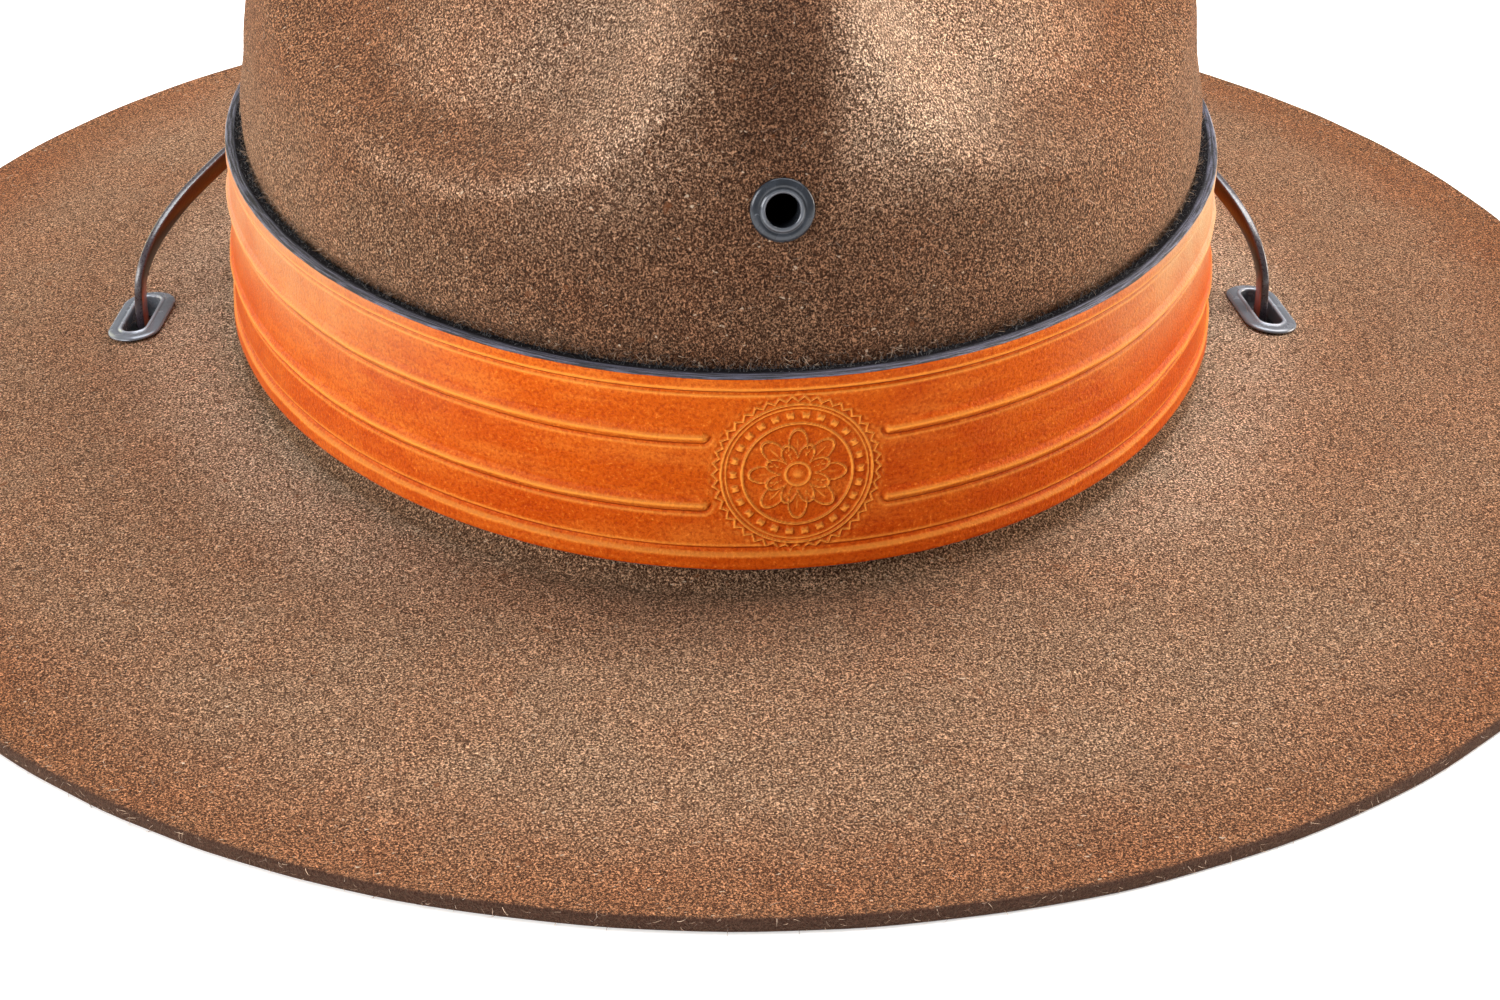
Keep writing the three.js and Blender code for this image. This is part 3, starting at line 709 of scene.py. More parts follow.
def paintFelt(skin, normals, angles, width):
    # paler with painted light on the pinches and the brim beside the band, darker with painted shade at the
    # front and by the band
    p = feltPaint
    x, y, z = np.moveaxis(skin, -1, 0)
    up = normals[..., 2]
    between = np.abs(np.sin(2 * angles))[None, :]  # 0 on the ridges, 1 in the pinches
    toSide = np.abs(np.cos(angles))[None, :]
    frontHalf = 1 - smoothStep(y, -20.0, 30.0)
    onBrim = z < hat["brimTop"] + 0.1
    onCrown = z > hat["bandTop"] - 1
    height = smoothStep(z + p["leftLower"] * smoothStep(-x, 12.0, 40.0), *p["pinchFoot"])

    def distanceFrom(out):
        return np.linalg.norm(skin[..., :2] - around(angles, out, 0.0)[None, :, :2], axis=-1)

    fromEdge = distanceFrom(width)
    fromBand = distanceFrom(bandPiece["thick"])

    # painted light on both sides of the front ridge, most on its right, on the pinches' upward-facing
    # shoulders, and on the brim beside the band at the sides
    ridgeSide = smoothStep(between, 0.10, 0.32) * (1 - smoothStep(between, 0.7, 1.0) * 0.8)
    ridgeSide = ridgeSide * (toSide < 0.71) * (p["ridgeLeft"] + p["ridgeRight"] * smoothStep(x, 0.0, 12.0))
    shoulder = smoothStep(up, 0.08, 0.30) * (1 - smoothStep(up, 0.42, 0.82))
    shoulder = shoulder * smoothStep(between, 0.2, 0.55) * (1 - smoothStep(toSide, 0.72, 0.88))
    dent = smoothStep(between, 0.5, 0.95) * (toSide < 0.86)
    pale = ridgeSide + p["shoulder"] * shoulder + p["dent"] * dent
    crownHighlight = height * frontHalf * np.clip(pale, 0, 1)
    brimHighlight = onBrim * (1 - smoothStep(fromBand, *p["besideBandReach"])) * smoothStep(toSide, 0.4, 0.8)
    rubbed = crownHighlight + p["besideBand"] * brimHighlight

    # warmer and darker towards the brim's edge, over the crown, on the crown's sides and out on the brim at
    # the sides
    handled = p["atEdge"] * (1 - smoothStep(fromEdge, *p["edgeReach"])) * onBrim
    handled = handled + p["crownWarmth"] * onCrown * (1 - 0.6 * crownHighlight)
    handled = handled + p["sideWarmth"] * smoothStep(toSide, 0.45, 0.75) * height
    outBrim = smoothStep(fromBand, *p["brimWarmthReach"])
    handled = handled + p["brimWarmth"] * onBrim * smoothStep(toSide, 0.5, 0.9) * outBrim

    # painted shade under the band at the front, on the crown's front wall and ridge, which face away from the
    # lamps, and along the band's top edge
    underBand = onBrim * (1 - smoothStep(fromBand, *p["underBandReach"])) * frontHalf
    underBand = underBand * (1 - smoothStep(toSide, 0.15, 0.45))
    frontRidge = (1 - smoothStep(between, 0.02, 0.3)) * (toSide < 0.5) * frontHalf
    frontWall = (1 - smoothStep(np.abs(x + 5.0), 24.0, 78.0)) * frontHalf * onCrown
    shaded = p["overBand"] * bell(z, hat["bandTop"], 1.8) + p["underBand"] * underBand
    shaded = shaded + p["frontRidge"] * frontRidge * smoothStep(z, 55.0, 95.0)
    shaded = shaded + p["frontWall"] * frontWall * (1 - 0.8 * crownHighlight)
    return (("handled", p["atEdge"], handled), ("shaded", 0.0, np.clip(shaded, 0.0, p["darkest"])),
            ("rubbed", 0.0, rubbed))


# Eyelets: their frames on the felt and their sections
eyeletPiece = {
    "crownLift": 24.5,
    "crownBore": 5.2,
    "crownWidth": 10.0,
    "slotBore": 4.4,
    "slotWidth": 10.0,
    "slotStraight": (20.3 - 10.0) / 2,
    "wall": 0.6,
    "flange": 0.75,
    "lip": 0.42,  # radius of the rolled lip
    "gap": 0.3,
    "turns": 72,
}
slotPlaces = [
    {"side": "left", "angle": 176.6, "out": 0.266, "turn": 11},
    {"side": "right", "angle": -4.8, "out": 0.188, "turn": 5},
]


def crownEyeletFrame():
    wanted = hat["bandTop"] + eyeletPiece["crownLift"]
    at = halving(0.0, len(crownSections) - 1.0, lambda middle: crownPoint(front, middle)[2] < wanted)
    up = unit(crownPoint(front, at + 0.1) - crownPoint(front, at - 0.1))
    across = np.array([1.0, 0.0, 0.0])
    return np.stack([across, up, np.cross(across, up)], 1), crownPoint(front, at)


def slotFrame(place):
    angle = math.radians(place["angle"])
    out = place["out"] * hat["brim"]
    share = (out - hat["foot"]) / (brimWidthAt(angle) - hat["land"] - hat["foot"])
    centre = brimPoint(angle, share)
    outward = outwardAt(angle)
    down = unit(brimPoint(angle, share + 0.1) - brimPoint(angle, share - 0.1))
    square = np.array([-outward[1], outward[0], 0.0])
    normal = unit(np.cross(down, square))
    turn = math.radians(-place["turn"] if place["side"] == "left" else place["turn"])
    along = np.array([-math.sin(turn), math.cos(turn), 0.0])
    along = unit(along - normal * (along @ normal))
    return np.stack([np.cross(along, normal), along, normal], 1), centre


def placed(points, spot):
    turn, centre = spot
    return np.asarray(points) @ turn.T + centre


def circle(radius, z, turns):
    angles = 2 * math.pi * np.arange(turns) / turns
    return np.stack([radius * np.cos(angles), radius * np.sin(angles), np.full(turns, z)], -1)


def longDirections(turns):
    half = turns // 2
    ways = []
    for end in (1, -1):
        for i in range(half + 1):
            angle = math.pi * i / half + (math.pi if end < 0 else 0)
            ways.append((math.cos(angle), math.sin(angle), end))
    return ways


def eyeletSection(bore, width):
    hole = bore / 2
    barrel = hole + eyeletPiece["wall"]
    edge = width / 2
    gap = eyeletPiece["gap"]
    top = gap + eyeletPiece["flange"]
    below = -hat["felt"] - gap
    section = [(hole, below - 0.2), (hole, -1.2), (hole, 0.1 * top)]
    # rolled lip round the hole, a shallow step, then the flange curving down to the felt
    lip = eyeletPiece["lip"]
    for k in range(7):
        turn = math.pi - k * math.pi / 6 * 0.8
        section.append((hole + lip + lip * math.cos(turn), top - 0.30 + lip * math.sin(turn)))
    section += [(hole + 0.95, top - 0.16), (hole + 1.1, top - 0.12)]
    for k in range(9):
        t = k / 8
        r = hole + 1.25 + (edge - hole - 1.25) * math.sin(t * math.pi / 2)
        section.append((r, gap + 0.02 + (top - 0.1 - gap) * math.cos(t * math.pi / 2) ** 0.8))
    section += [(edge - 0.12, gap), (barrel, gap), (barrel, below), (edge - 0.9, below)]
    section += [(edge - 0.75, below - 0.2), (edge - 0.95, below - 0.42), (hole + 0.5, below - 0.45)]
    section += [(hole + 0.15, below - 0.38)]
    return section


def lipOf(section):
    # 1 on the crest of the rolled lip, where a painted highlight goes
    top = max(z for r, z in section)
    inner = min(r for r, z in section)
    return [float(smoothStep(z, top - 0.22, top)) * float(r < inner + 0.7) for r, z in section]


def buildRoundEyelet():
    section = eyeletSection(eyeletPiece["crownBore"], eyeletPiece["crownWidth"])
    turns = eyeletPiece["turns"]
    points = placed(np.concatenate([circle(r, z, turns) for r, z in section]), crownEyeletFrame())
    faces = ringFaces(len(section), turns, closed=True)[:, ::-1]
    piece = makeObject("eyelet_crown", points, faces, gunmetal)
    # a faint painted highlight on the crown eyelet's lip
    giveValues(piece, "lip", np.repeat([0.35 * amount for amount in lipOf(section)], turns))
    ridesAndReplaces(piece, "eyelet_metal", "crown_eyelet")


def buildSlotEyelet(place):
    section = eyeletSection(eyeletPiece["slotBore"], eyeletPiece["slotWidth"])
    ways = longDirections(eyeletPiece["turns"])
    straight = eyeletPiece["slotStraight"]
    rings = [[(r * x, r * y + end * straight, z) for x, y, end in ways] for r, z in section]
    points = placed(np.array(rings).reshape(-1, 3), slotFrame(place))
    faces = ringFaces(len(section), len(ways), closed=True)[:, ::-1]
    piece = makeObject("eyelet_slot_" + place["side"], points, faces, gunmetal)
    rubbed = [0.45 + 0.55 * amount for amount in lipOf(section)]  # painted reflection makes these paler all over, with a painted highlight on the lip
    giveValues(piece, "lip", np.repeat(rubbed, len(ways)))
    ridesAndReplaces(piece, "eyelet_metal", "slot_eyelet_" + place["side"])


def cutHoles(piece):
    # the holes that the eyelets sit in
    margin = eyeletPiece["wall"] + eyeletPiece["gap"]
    straight = eyeletPiece["slotStraight"]
    turns, ends = 48, (-7.0, 7.0)
    radius = eyeletPiece["crownBore"] / 2 + margin
    cutters = [[placed(circle(radius, z, turns), crownEyeletFrame()) for z in ends]]
    r = eyeletPiece["slotBore"] / 2 + margin
    for place in slotPlaces:
        cutters.append([placed([(r * x, r * y + end * straight, z) for x, y, end in longDirections(turns)],
                               slotFrame(place)) for z in ends])
    for rings in cutters:
        count = len(rings[0])
        faces = ringFaces(2, count).tolist() + [list(range(count))[::-1], list(range(count, 2 * count))]
        cutter = makeObject("cutter", np.concatenate(rings), faces, felt, smooth=False)
        cutting = piece.modifiers.new("cut", "BOOLEAN")
        cutting.operation = "DIFFERENCE"
        cutting.solver = "MANIFOLD"
        cutting.object = cutter
        depsgraph = bpy.context.evaluated_depsgraph_get()
        mesh = bpy.data.meshes.new_from_object(piece.evaluated_get(depsgraph))
        piece.modifiers.clear()
        old = piece.data
        piece.data = mesh
        bpy.data.meshes.remove(old)
        bpy.data.objects.remove(cutter)


feltBody, feltSkin, feltNormals = buildFelt()
cutHoles(feltBody)
ridesAndReplaces(feltBody, "felt", "felt_hat")
print("felt body made:", len(feltBody.data.vertices), "points")
buildRoundEyelet()
for slotPlace in slotPlaces:
    buildSlotEyelet(slotPlace)
print("eyelets made")


# Leather band

# The stamp is a plain rosette: a toothed rim, rings, small domes and two rows of petals
stampPiece = {
    "teeth": 42,
    "toothRing": 12.95,  # radii and widths in mm
    "toothDepth": 0.42,
    "rings": ((12.0, 0.26, 1.0), (11.35, 0.2, 0.6)),  # radius, width and height of each
    "domes": 26,
    "domeRing": 10.1,
    "innerRing": 8.75,
    "petals": ((8, 7.7, 0.0), (8, 5.3, math.pi / 8)),  # count, reach and turn of each row
    "petalFoot": 2.4,
    "ground": 0.45,  # how far the ground between is pressed in, as a share of the depth
}


def stampRelief(u, v):
    s = stampPiece
    r = np.hypot(u, v)
    turn = np.arctan2(v, u)
    teeth = s["toothRing"] + s["toothDepth"] * (np.abs((turn * s["teeth"] / math.pi) % 2 - 1) * 2 - 1)
    relief = 0.8 * bell(r, teeth, 0.24)
    for radius, width, rise in s["rings"]:
        relief += rise * bell(r, radius, width)
    relief += 1.0 * bell(r, s["domeRing"], 0.62) * smoothStep(np.cos(turn * s["domes"]), -0.35, 0.5)
    relief += 0.9 * bell(r, s["innerRing"], 0.26)
    for count, reach, shift in s["petals"]:
        petal = np.abs(np.cos((turn - shift) * count / 2)) ** 0.7
        outline = s["petalFoot"] + (reach - s["petalFoot"]) * petal
        relief = np.where(r < outline, np.maximum(relief, 0.25 * petal), relief)
        relief += 0.9 * bell(r, outline, 0.25) * (r > 2.3)
        vein = bell(np.abs(np.sin((turn - shift) * count / 2)) * r, 0.0, 0.24)
        relief += 0.6 * vein * smoothStep(r, 3.0, 3.8) * (1 - smoothStep(r, reach - 2.2, reach - 1.2))
    relief += 0.9 * bell(r, 0.0, 1.0) + 0.7 * bell(r, 1.95, 0.26)
    ground = -s["ground"] * (1 - smoothStep(r, 13.0, 13.9))
    return (relief + ground) * bandPiece["stampDepth"] * (1 - smoothStep(r, 13.6, 14.2))


def hollows(shape, fineColumns):
    # how far the surface lies below its surroundings, about 1 mm across; negative where it stands out
    reach = 3
    window = range(2 * reach + 1)
    padded = np.pad(shape, ((reach, reach), (0, 0)), mode="edge")
    level = sum(padded[k:k + len(shape)] for k in window) / len(window)
    beside = sum(np.roll(level, k - reach, 1) for k in window) / len(window)
    return np.where(fineColumns[None, :], beside, level) - shape


def bandRelief(u, h, angle):
    # u along the front from the stamp, h height from the lower edge, both in mm
    b = bandPiece
    total = hat["bandTop"] - hat["bandBottom"]
    fromEdge = np.minimum(0.75 * h, total - h)  # the lower bead is the wider one
    bead = b["bead"] * smoothStep(b["beadWidth"] - fromEdge, 0.0, 0.75)
    bead *= 1 - 0.12 * smoothStep(fromEdge, 0.9, 0.0)
    crease = -b["crease"] * bell(fromEdge, b["beadWidth"] + 0.1, 0.26)
    lines = np.zeros_like(h)
    for share in b["lines"]:
        centre = share * total
        away = np.maximum(b["lineStop"] + 0.4 - np.abs(u), 0.0) * (np.sin(angle) < 0)
        distance = np.hypot(h - centre, away)
        below = 0.15 + 0.85 * smoothStep(centre - h, -0.5, 0.5)
        lines += b["line"] * bell(distance, 0.0, b["lineWidth"])
        lines -= 0.8 * b["crease"] * below * bell(distance, 1.35, 0.3)
    return bead + crease + lines


def bandColumns():
    b = bandPiece
    fine = np.arange(-b["fineReach"], b["fineReach"] + 1e-6, b["stampStep"])
    # length along the outside of the band from the front, to place columns by
    table = np.linspace(front - math.pi, front + math.pi, 7201)
    line = around(table, b["thick"], 0.0)[:, :2]
    lengths = np.concatenate([[0], np.cumsum(np.linalg.norm(np.diff(line, axis=0), axis=1))])
    middle = np.interp(front, table, lengths)
    whole = lengths[-1]
    along = fine + b["stampAcross"]
    coarse = int((whole - 2 * b["fineReach"]) / b["columnStep"])
    rest = np.linspace(along[-1], along[0] + whole, coarse)[1:-1]
    seam = whole / 2 + np.array([-0.9, -0.45, -0.2, 0.0, 0.2, 0.45, 0.9])
    rest = rest[np.abs(rest - whole / 2) > 1.6]
    along = np.sort(np.concatenate([along, rest, seam]))
    along = np.where(along > whole / 2 + 1e-6, along - whole, along)
    along = np.sort(along)
    return np.interp(along + middle, lengths, table), along, whole


def buildBand():
    b = bandPiece
    angles, along, whole = bandColumns()
    total = hat["bandTop"] - hat["bandBottom"]
    rowCount = int(total / b["rowStep"])
    r = b["corner"]
    heights = np.linspace(r, total - r, rowCount)
    rings = []
    names = ("groove", "crest", "edge", "inside", "height", "faded", "along", "depth")
    values = {name: [] for name in names}
    atSides = smoothStep(np.abs(np.cos(angles)), 0.45, 0.97) * (0.75 + 0.25 * np.cos(angles))

    def addRing(out, h, edgeValue, insideValue, groove=0.0, crest=0.0):
        z = hat["bandBottom"] + h
        rings.append(around(angles, b["gap"] + leanAt(z) + out, z))
        # painted sheen, strongest high up at the sides
        faded = atSides * (smoothStep(h / total, 0.35, 0.95) + 0.1 * (np.cos(angles) < 0))
        given = (groove, crest, edgeValue, insideValue, h / total, faded, along, out)
        for name, value in zip(names, given):
            values[name].append(np.broadcast_to(value, angles.shape))

    beside = along - b["stampAcross"]
    seamDip = b["seam"] * bell(np.abs(np.abs(along) - whole / 2), 0.0, 0.3)
    wave = b["wave"][0] * softNoise(around(angles, 0.0, 0.0), b["wave"][1], 21)
    drift = b["drift"][0] * softNoise(around(angles, 0.0, 0.0), b["drift"][1], 23)
    shapes = []
    for h in heights:
        hs = np.full(len(angles), h)
        tooled = h + drift * smoothStep(np.minimum(hs, total - hs), 2.0, 6.0)
        worn = 1 + b["wear"][0] * softNoise(around(angles, 0.0, h), b["wear"][1], 25)
        shapes.append(bandRelief(beside, tooled, angles) * worn + stampRelief(beside, hs - total / 2))
    shapes = np.array(shapes)
    hollow = hollows(shapes, np.abs(beside) < b["lineStop"])
    rising = np.tanh(np.gradient(shapes, axis=0) / b["rowStep"] * 3)
    for h, shape, dip, slope in zip(heights, shapes, hollow, rising):
        # painted shade in the hollows, stronger just below each raised line and bead, where light from above
        # is cut off
        groove = np.clip(dip / b["grooveFull"] * (0.15 + 0.95 * slope), 0, 1)
        crest = np.clip(-dip / b["crestFull"], 0, 1)
        addRing(b["thick"] + shape + wave - seamDip, h, 0.0, 0.0, groove, crest)

    def addCorner(k, atTop):
        turn = k / 4 * math.pi / 2
        h = total - r if atTop else r
        shape = bandRelief(beside, np.full(len(angles), h), angles)
        out = b["thick"] + shape + wave - seamDip - r * (1 - math.cos(turn))
        edgeValue = 0.2 + 0.25 * k if atTop else 0.15 + 0.2 * k
        addRing(out, h + r * math.sin(turn) * (1 if atTop else -1), edgeValue, 0.0)

    for k in (1, 2, 3, 4):
        addCorner(k, True)
    for out in (2.1, 1.6, 1.1, 0.6, 0.3):
        addRing(out + 0.3 * wave, total + 0.05 * math.sin(out * 9), 1.0, 1.0 if out < 1.7 else 0.0)
    for h in np.linspace(total - 0.5, 0.5, 12):
        addRing(0.02, h, 1.0, 1.0)
    for out in (0.4, 1.4, 2.1):
        addRing(out, 0.0, 1.0, 0.3)
    for k in (4, 3, 2, 1):
        addCorner(k, False)
    faces = ringFaces(len(rings), len(angles), closed=True)
    piece = makeObject("leather_band", np.concatenate(rings), faces, bandLeather)
    for name, rows in values.items():
        giveValues(piece, name, np.concatenate(rows))
    ridesAndReplaces(piece, "band_leather", "hat_band")
    print("band made:", len(piece.data.vertices), "points")


buildBand()


# Loose fibres: short curved slivers on the felt, at the brim's edge and along the band's top
fibrePiece = {
    "overFelt": 3600,
    "atRim": 1100,
    "overBand": 1500,
    "fromBand": 2600,
    "lengths": {"overFelt": (0.9, 2.6), "atRim": (0.5, 1.7), "overBand": (0.6, 2.0), "fromBand": (0.5, 1.3)},
    "feltWidth": 0.085,
    "bandWidth": 0.12,
    "shares": (0.0, 0.35, 0.72),  # along a fibre, with its width at each
    "widths": (1.0, 0.85, 0.5),
}


def buildFibres(name, material, slotName, seed, roots, ways, normals, lengths, width, lift, bend):
    # each fibre is a thin three-sided sliver that bends and lifts along its length and ends in a point
    p = fibrePiece
    rng = np.random.default_rng(seed)
    count = len(roots)
    ways = unit(ways - normals * np.sum(ways * normals, 1, keepdims=True) * 0.5)
    side = unit(np.cross(ways, normals))
    bends = (rng.uniform(-bend, bend, count) * lengths)[:, None]
    lifts = (rng.uniform(0.3, 1.0, count) * lift * lengths)[:, None]
    lengths = lengths[:, None]
    wide = (rng.uniform(0.6, 1.3, count) * width / 2)[:, None]

    def middle(t):
        return roots + ways * lengths * t + side * bends * t * t + normals * lifts * math.sin(t * 2.4)

    rows = []
    for t, share in zip(p["shares"], p["widths"]):
        for turn in (90, 210, 330):
            offset = side * math.cos(math.radians(turn)) + normals * math.sin(math.radians(turn))
            rows.append(middle(t) + offset * wide * share)
    rows.append(middle(1.0))
    points = np.stack(rows, 1).reshape(-1, 3)
    each = len(rows)
    pattern = [(0, 1, 2)]
    for ring in range(len(p["shares"]) - 1):
        for k in range(3):
            a, b = ring * 3 + k, ring * 3 + (k + 1) % 3
            pattern += [(a, a + 3, b + 3, b)]
    last = each - 4
    pattern += [(last + k, each - 1, last + (k + 1) % 3) for k in range(3)]
    faces = [tuple(start + k for k in face) for start in range(0, count * each, each) for face in pattern]
    piece = makeObject(name, points, faces, material)
    giveValues(piece, "strand", np.repeat(rng.uniform(0, 1, count), each))
    ridesAndReplaces(piece, slotName)


def feltFibres():
    p = fibrePiece
    rng = np.random.default_rng(61)
    groups = []

    def addGroup(kind, roots, normals, squash, outward):
        ways = rng.normal(size=(p[kind], 3)) * squash + normals * outward
        groups.append((roots, ways, normals, rng.uniform(*p["lengths"][kind], p[kind])))

    # places on the open felt, as many to each square millimetre everywhere
    a, b = feltSkin[:-1], feltSkin[1:]
    wide = np.linalg.norm(np.roll(a, -1, 1) - a, axis=-1)
    tall = np.linalg.norm(b - a, axis=-1)
    z = a[..., 2]
    clear = (z < hat["brimTop"] - 0.3) | (z > hat["bandTop"] + 0.5)
    share = np.cumsum((wide * tall * clear).ravel())
    picks = np.searchsorted(share, rng.uniform(0, share[-1], p["overFelt"]))
    row, column = np.unravel_index(picks, z.shape)
    f, g = rng.uniform(0, 1, (2, p["overFelt"], 1))
    after = (column + 1) % z.shape[1]
    low = feltSkin[row, column] * (1 - f) + feltSkin[row, after] * f
    high = feltSkin[row + 1, column] * (1 - f) + feltSkin[row + 1, after] * f
    addGroup("overFelt", low * (1 - g) + high * g, feltNormals[row, column], 1.0, 0.0)
    # at the cut edge of the brim
    angles = rng.uniform(0, 2 * math.pi, p["atRim"])
    heights = rng.uniform(0.3, hat["felt"], p["atRim"])
    edge = around(angles, brimWidthAt(angles) - 0.05, heights)
    addGroup("atRim", edge, outwardAt(angles), (1, 1, 0.7), 0.6)
    # from the crown out over the band's top edge
    angles = rng.uniform(0, 2 * math.pi, p["overBand"])
    heights = hat["bandTop"] + rng.uniform(0.2, 1.6, p["overBand"])
    addGroup("overBand", around(angles, leanAt(heights), heights), outwardAt(angles), 0.6, 1.1)
    roots, ways, normals, lengths = (np.concatenate(part) for part in zip(*groups))
    buildFibres("felt_fibres", feltHairs, "felt", 62, roots, ways, normals, lengths, p["feltWidth"], 0.3, 0.6)


def bandFibres():
    # dark flesh fibres that stand up from the inner half of the band's top edge
    p = fibrePiece
    rng = np.random.default_rng(63)
    count = p["fromBand"]
    angles = rng.uniform(0, 2 * math.pi, count)
    out = bandPiece["gap"] + rng.uniform(0.1, 1.5, count)
    top = np.full(count, hat["bandTop"])
    roots = around(angles, leanAt(top) + out, top - 0.02)
    normals = np.tile((0.0, 0.0, 1.0), (count, 1))
    ways = rng.normal(size=(count, 3)) * (1, 1, 0.4) + (0, 0, 0.5)
    lengths = rng.uniform(*p["lengths"]["fromBand"], count)
    buildFibres("band_fibres", fleshHairs, "band_leather", 64, roots, ways, normals, lengths,
                p["bandWidth"], 0.5, 0.6)


feltFibres()
bandFibres()
print("fibres made")


# Leather strap, one loop through both eyelets
strapPiece = {
    "width": 3.6,
    "thick": 1.5,
    "bend": 3.0,
    "lie": 0.3,
    "keeperLength": 10.0,
    "keeperWall": 0.6,
    "gap": 0.3,
    "runOut": 0.355,
    "wraps": 10,
    "stepsEach": 9,
    # shares of the way in to the band, and of the rise to its middle
    "rise": [(0.0, 0.12), (0.01, 0.33), (0.05, 0.49), (0.12, 0.63), (0.22, 0.74), (0.35, 0.83),
             (0.6, 0.93)],
    # shares of the turn to the front, and of the way out to the hidden run
    "run": [(0.05, 0.78), (0.12, 0.97), (0.22, 1.0), (0.36, 1.0), (0.52, 1.0), (0.68, 1.0),
            (0.84, 1.0)],
}
bandMiddle = (hat["bandBottom"] + hat["bandTop"]) / 2
strapOut = 2 * strapPiece["gap"] + bandPiece["thick"] + float(leanAt(bandMiddle)) + strapPiece["thick"] / 2
runHeight = strapPiece["lie"] + strapPiece["thick"] / 2
keeperHeight = runHeight + strapPiece["keeperWall"] + strapPiece["gap"]
upward = np.array([0.0, 0.0, 1.0])


def touchAngle(point, startAngle):
    # where a straight strap from this point first meets the band
    def beforeBand(angle):
        return outwardAt(angle) @ (point - around(angle, strapOut, point[2])) > 0

    return halving(startAngle, back, beforeBand)


def strapHalf(place):
    s = strapPiece
    turn, centre = slotFrame(place)
    side = -1.0 if place["side"] == "left" else 1.0
    acrossSlot = unit(turn[:, 0] * (1, 1, 0)) * side
    slotAngle = math.radians(place["angle"] - 360 if place["angle"] > 90 else place["angle"])
    slotOut = place["out"] * hat["brim"] + s["bend"]
    runOut = s["runOut"] * hat["brim"]
    stations = []
    for turnShare, outShare in reversed(s["run"]):
        angle = slotAngle + (front - slotAngle) * turnShare
        stations.append((around(angle, slotOut + (runOut - slotOut) * outShare, runHeight), upward))

    def atHeight(point, z):
        return np.array([point[0], point[1], z])

    slant = math.sqrt(0.5)
    bendStart = runHeight + s["bend"]
    for away, z, facing in ((2, runHeight, upward), (1, runHeight, upward),
                            (1 - slant, bendStart - s["bend"] * slant, unit(acrossSlot + upward)),
                            (0, bendStart, acrossSlot)):
        stations.append((atHeight(centre + acrossSlot * s["bend"] * away, z), facing))
    touch = touchAngle(centre, math.radians(place["angle"]))
    meeting = around(touch, strapOut, 0.0)
    for along, up in s["rise"]:
        point = centre + (meeting - centre) * along
        facing = unit(acrossSlot * (1 - along) + outwardAt(touch) * along)
        stations.append((atHeight(point, centre[2] + up * (bandMiddle - centre[2])), facing))
    return stations, touch


def strapStations():
    s = strapPiece
    left, leftTouch = strapHalf(slotPlaces[0])
    right, rightTouch = strapHalf(slotPlaces[1])
    keeper = []
    for way in (-1, 0, 1):
        angle = front - way * 0.6 * s["keeperLength"] / hat["halfWidth"]
        keeper.append((around(angle, s["runOut"] * hat["brim"], keeperHeight), upward))
    onBand = []
    for i in range(s["wraps"] + 1):
        angle = leftTouch + (rightTouch - leftTouch) * i / s["wraps"]
        onBand.append((around(angle, strapOut, bandMiddle), outwardAt(angle)))
    return keeper + left + onBand + right[::-1]


def closedCurve(points, steps):
    # centripetal spline through all the points and back to the first
    points = np.array(points)
    count = len(points)
    result = []
    for i in range(count):
        p = [points[(i + k) % count] for k in (-1, 0, 1, 2)]
        t = [0.0]
        for a, b in zip(p, p[1:]):
            t.append(t[-1] + max(math.sqrt(np.linalg.norm(b - a)), 1e-3))
        for step in range(steps):
            x = t[1] + (t[2] - t[1]) * step / steps
            a = [((t[k + 1] - x) * p[k] + (x - t[k]) * p[k + 1]) / (t[k + 1] - t[k]) for k in range(3)]
            b = [((t[k + 2] - x) * a[k] + (x - t[k]) * a[k + 1]) / (t[k + 2] - t[k]) for k in range(2)]
            result.append(((t[2] - x) * b[0] + (x - t[1]) * b[1]) / (t[2] - t[1]))
    return np.array(result)


def buildStrap():
    s = strapPiece
    stations = strapStations()
    line = closedCurve([place for place, _ in stations], s["stepsEach"])
    ups = np.array([facing for _, facing in stations])
    share = np.arange(len(line)) / s["stepsEach"]
    low = share.astype(int)
    f = (share - low)[:, None]
    f = f * f * (3 - 2 * f)
    facing = unit(ups[low % len(ups)] * (1 - f) + ups[(low + 1) % len(ups)] * f)
    along = unit(np.roll(line, -1, 0) - np.roll(line, 1, 0))
    facing = unit(facing - along * np.sum(facing * along, 1, keepdims=True))
    across = np.cross(along, facing)
    # section with softened corners: outer side, edge, flesh side, edge
    w, t, c = s["width"] / 2, s["thick"] / 2, 0.35
    section = [(-w + c, t), (-w / 2, t + 0.04), (0, t + 0.06), (w / 2, t + 0.04), (w - c, t),
               (w - 0.1, t - 0.12), (w, t - c), (w, -t + c), (w - 0.1, -t + 0.1), (w - c, -t), (0, -t),
               (-w + c, -t), (-w + 0.1, -t + 0.1), (-w, -t + c), (-w, t - c), (-w + 0.1, t - 0.12)]
    wobble = 0.05 * softNoise(line, 18.0, 31)
    rings = [line + across * (x * (1 + 0.02 * wobble))[:, None] + facing * (y + wobble * 0.4)[:, None]
             for x, y in section]
    points = np.stack(rings, 1).reshape(-1, 3)
    faces = ringFaces(len(line), len(section), closed=True)[:, ::-1]
    piece = makeObject("leather_strap", points, faces, strapLeather)
    flesh = np.array([1.0 if y <= -t + 0.11 and abs(x) < w - 0.15 else 0.0 for x, y in section])
    edge = np.array([1.0 if abs(x) >= w - 0.12 else 0.0 for x, y in section])
    giveValues(piece, "fleshSide", np.tile(flesh, len(line)))
    giveValues(piece, "edge", np.tile(edge, len(line)))
    # where the flesh side gets the painted reflection, near the brim
    low = 1 - smoothStep(line[:, 2], hat["brimTop"] + 3, hat["brimTop"] + 8)
    giveValues(piece, "worn", np.repeat(low, len(section)))
    ridesAndReplaces(piece, "strap_leather", "chin_strap")


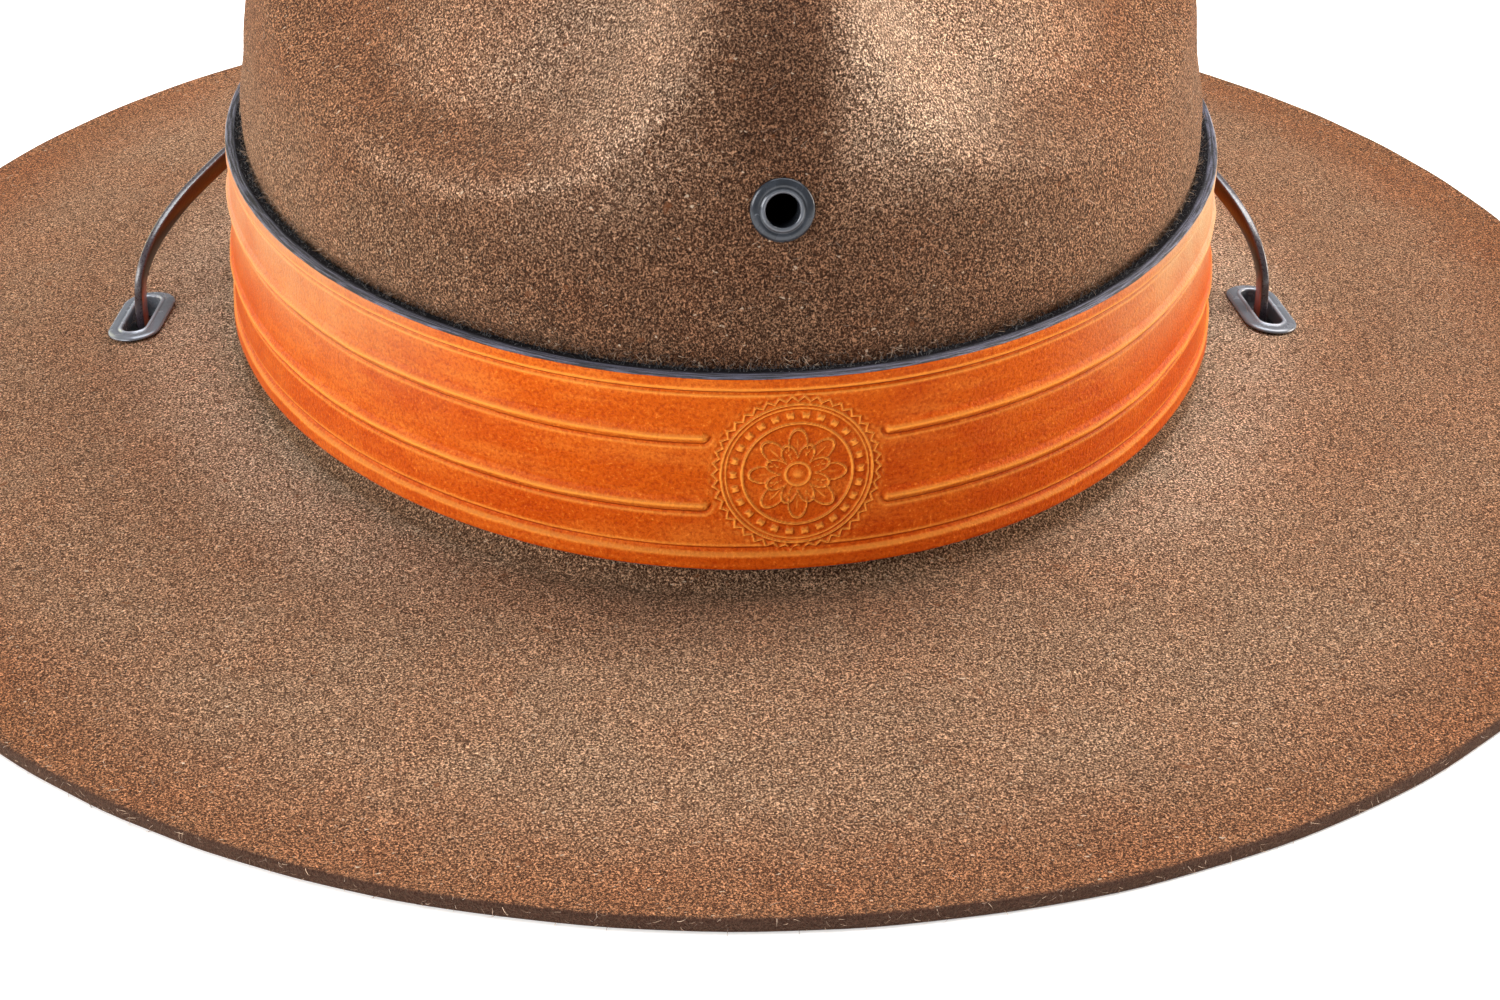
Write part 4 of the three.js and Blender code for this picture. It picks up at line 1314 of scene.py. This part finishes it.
def buildKeeper():
    s = strapPiece
    centre = around(front, s["runOut"] * hat["brim"], keeperHeight)
    innerW, innerH = s["width"] / 2 + s["gap"], s["thick"] / 2 + s["gap"]
    wall = s["keeperWall"]
    loops = []
    for end, grow in ((-1, 0.12), (-0.94, 0.0), (0.94, 0.0), (1, 0.12)):
        for w, h, sign in ((innerW + wall, innerH + wall, -1), (innerW, innerH, 1)):
            a, b = w + sign * grow, h + sign * grow
            corners = ((-a, -b), (a, -b), (a, b), (-a, b))
            loops.append([(end * s["keeperLength"] / 2, x, z) for x, z in corners])
    outer = [loops[i] for i in (0, 2, 4, 6)]
    inner = [loops[i] for i in (7, 5, 3, 1)]
    local = np.array(outer + inner).reshape(-1, 3)
    points = local * (1, outwardAt(front)[1], 1) + centre
    faces = ringFaces(8, 4, closed=True)
    piece = makeObject("strap_slide", points, faces, strapLeather, smooth=False)
    for name in ("fleshSide", "edge", "worn"):
        giveValues(piece, name, np.zeros(len(points)))
    ridesAndReplaces(piece, "strap_leather", "strap_keeper")


buildStrap()
buildKeeper()
print("strap made")


# Floor and soft studio light
studio = {
    "floor": (0.93, 0.925, 0.915),
    "floorHalf": 6000.0,
    "sky": 0.3,
    "glow": 0.3,  # keeps the pale floor pure where the brim shades it
    "glowReach": (0.13, 0.16),  # metres from the middle where the glow comes in
    "aim": (0.0, 0.0, 0.05),
    "lamps": [  # name, place, size, watts, colour
        ("overhead", (0.0, 0.4, 1.45), 1.0, 24.0, (0.94, 0.97, 1.0)),
        ("overheadRight", (0.75, 0.3, 1.25), 0.8, 20.0, (1.0, 0.95, 0.91)),
        ("left", (-1.3, 0.1, 0.28), 0.7, 7.8, (1.0, 0.86, 0.74)),
        ("right", (1.3, 0.1, 0.28), 0.7, 18.5, (1.0, 0.87, 0.73)),
        ("backLeft", (-1.0, 0.9, 0.5), 0.7, 5.0, (1.0, 0.96, 0.64)),
        ("frontLeft", (-1.1, -0.8, 0.6), 0.7, 16.0, (1.0, 0.98, 0.97)),
    ],
}


def buildFloor():
    k = nodeKit("paleFloor")
    tone = k.mix(k.noise(k.place, 3.0), studio["floor"], tuple(c * 0.99 for c in studio["floor"]))
    reach = k.add("ShaderNodeVectorMath", {"operation": "LENGTH"}, in0=k.place).outputs["Value"]
    near, far = studio["glowReach"]
    glow = k.ramp(reach, (near, 0), (far, studio["glow"]))
    k.finish(Base_Color=tone, Roughness=0.9, Emission_Color=(1.0, 1.0, 1.0, 1.0), Emission_Strength=glow)
    half = studio["floorHalf"]
    corners = [(-half, -half, 0.0), (half, -half, 0.0), (half, half, 0.0), (-half, half, 0.0)]
    floor = makeObject("studioFloor", corners, [(0, 1, 2, 3)], k.material, smooth=False)
    floor.location.z = -0.02 * mm


def buildLight():
    world = bpy.data.worlds.new("softSky")
    bpy.context.scene.world = world
    world.use_nodes = True
    sky = world.node_tree.nodes["Background"]
    sky.inputs[0].default_value = (1.0, 1.0, 1.0, 1.0)
    sky.inputs[1].default_value = studio["sky"]
    for name, place, size, watts, colour in studio["lamps"]:
        data = bpy.data.lights.new(name, "AREA")
        data.shape = "SQUARE"
        data.size = size
        data.energy = watts
        data.color = colour
        lamp = bpy.data.objects.new(name, data)
        bpy.context.collection.objects.link(lamp)
        lamp.location = place
        lamp.rotation_mode = "QUATERNION"
        lamp.rotation_quaternion = (Vector(studio["aim"]) - Vector(place)).to_track_quat("-Z", "Y")
    bpy.context.scene.view_settings.view_transform = "Standard"


buildFloor()
buildLight()
print("studio set")
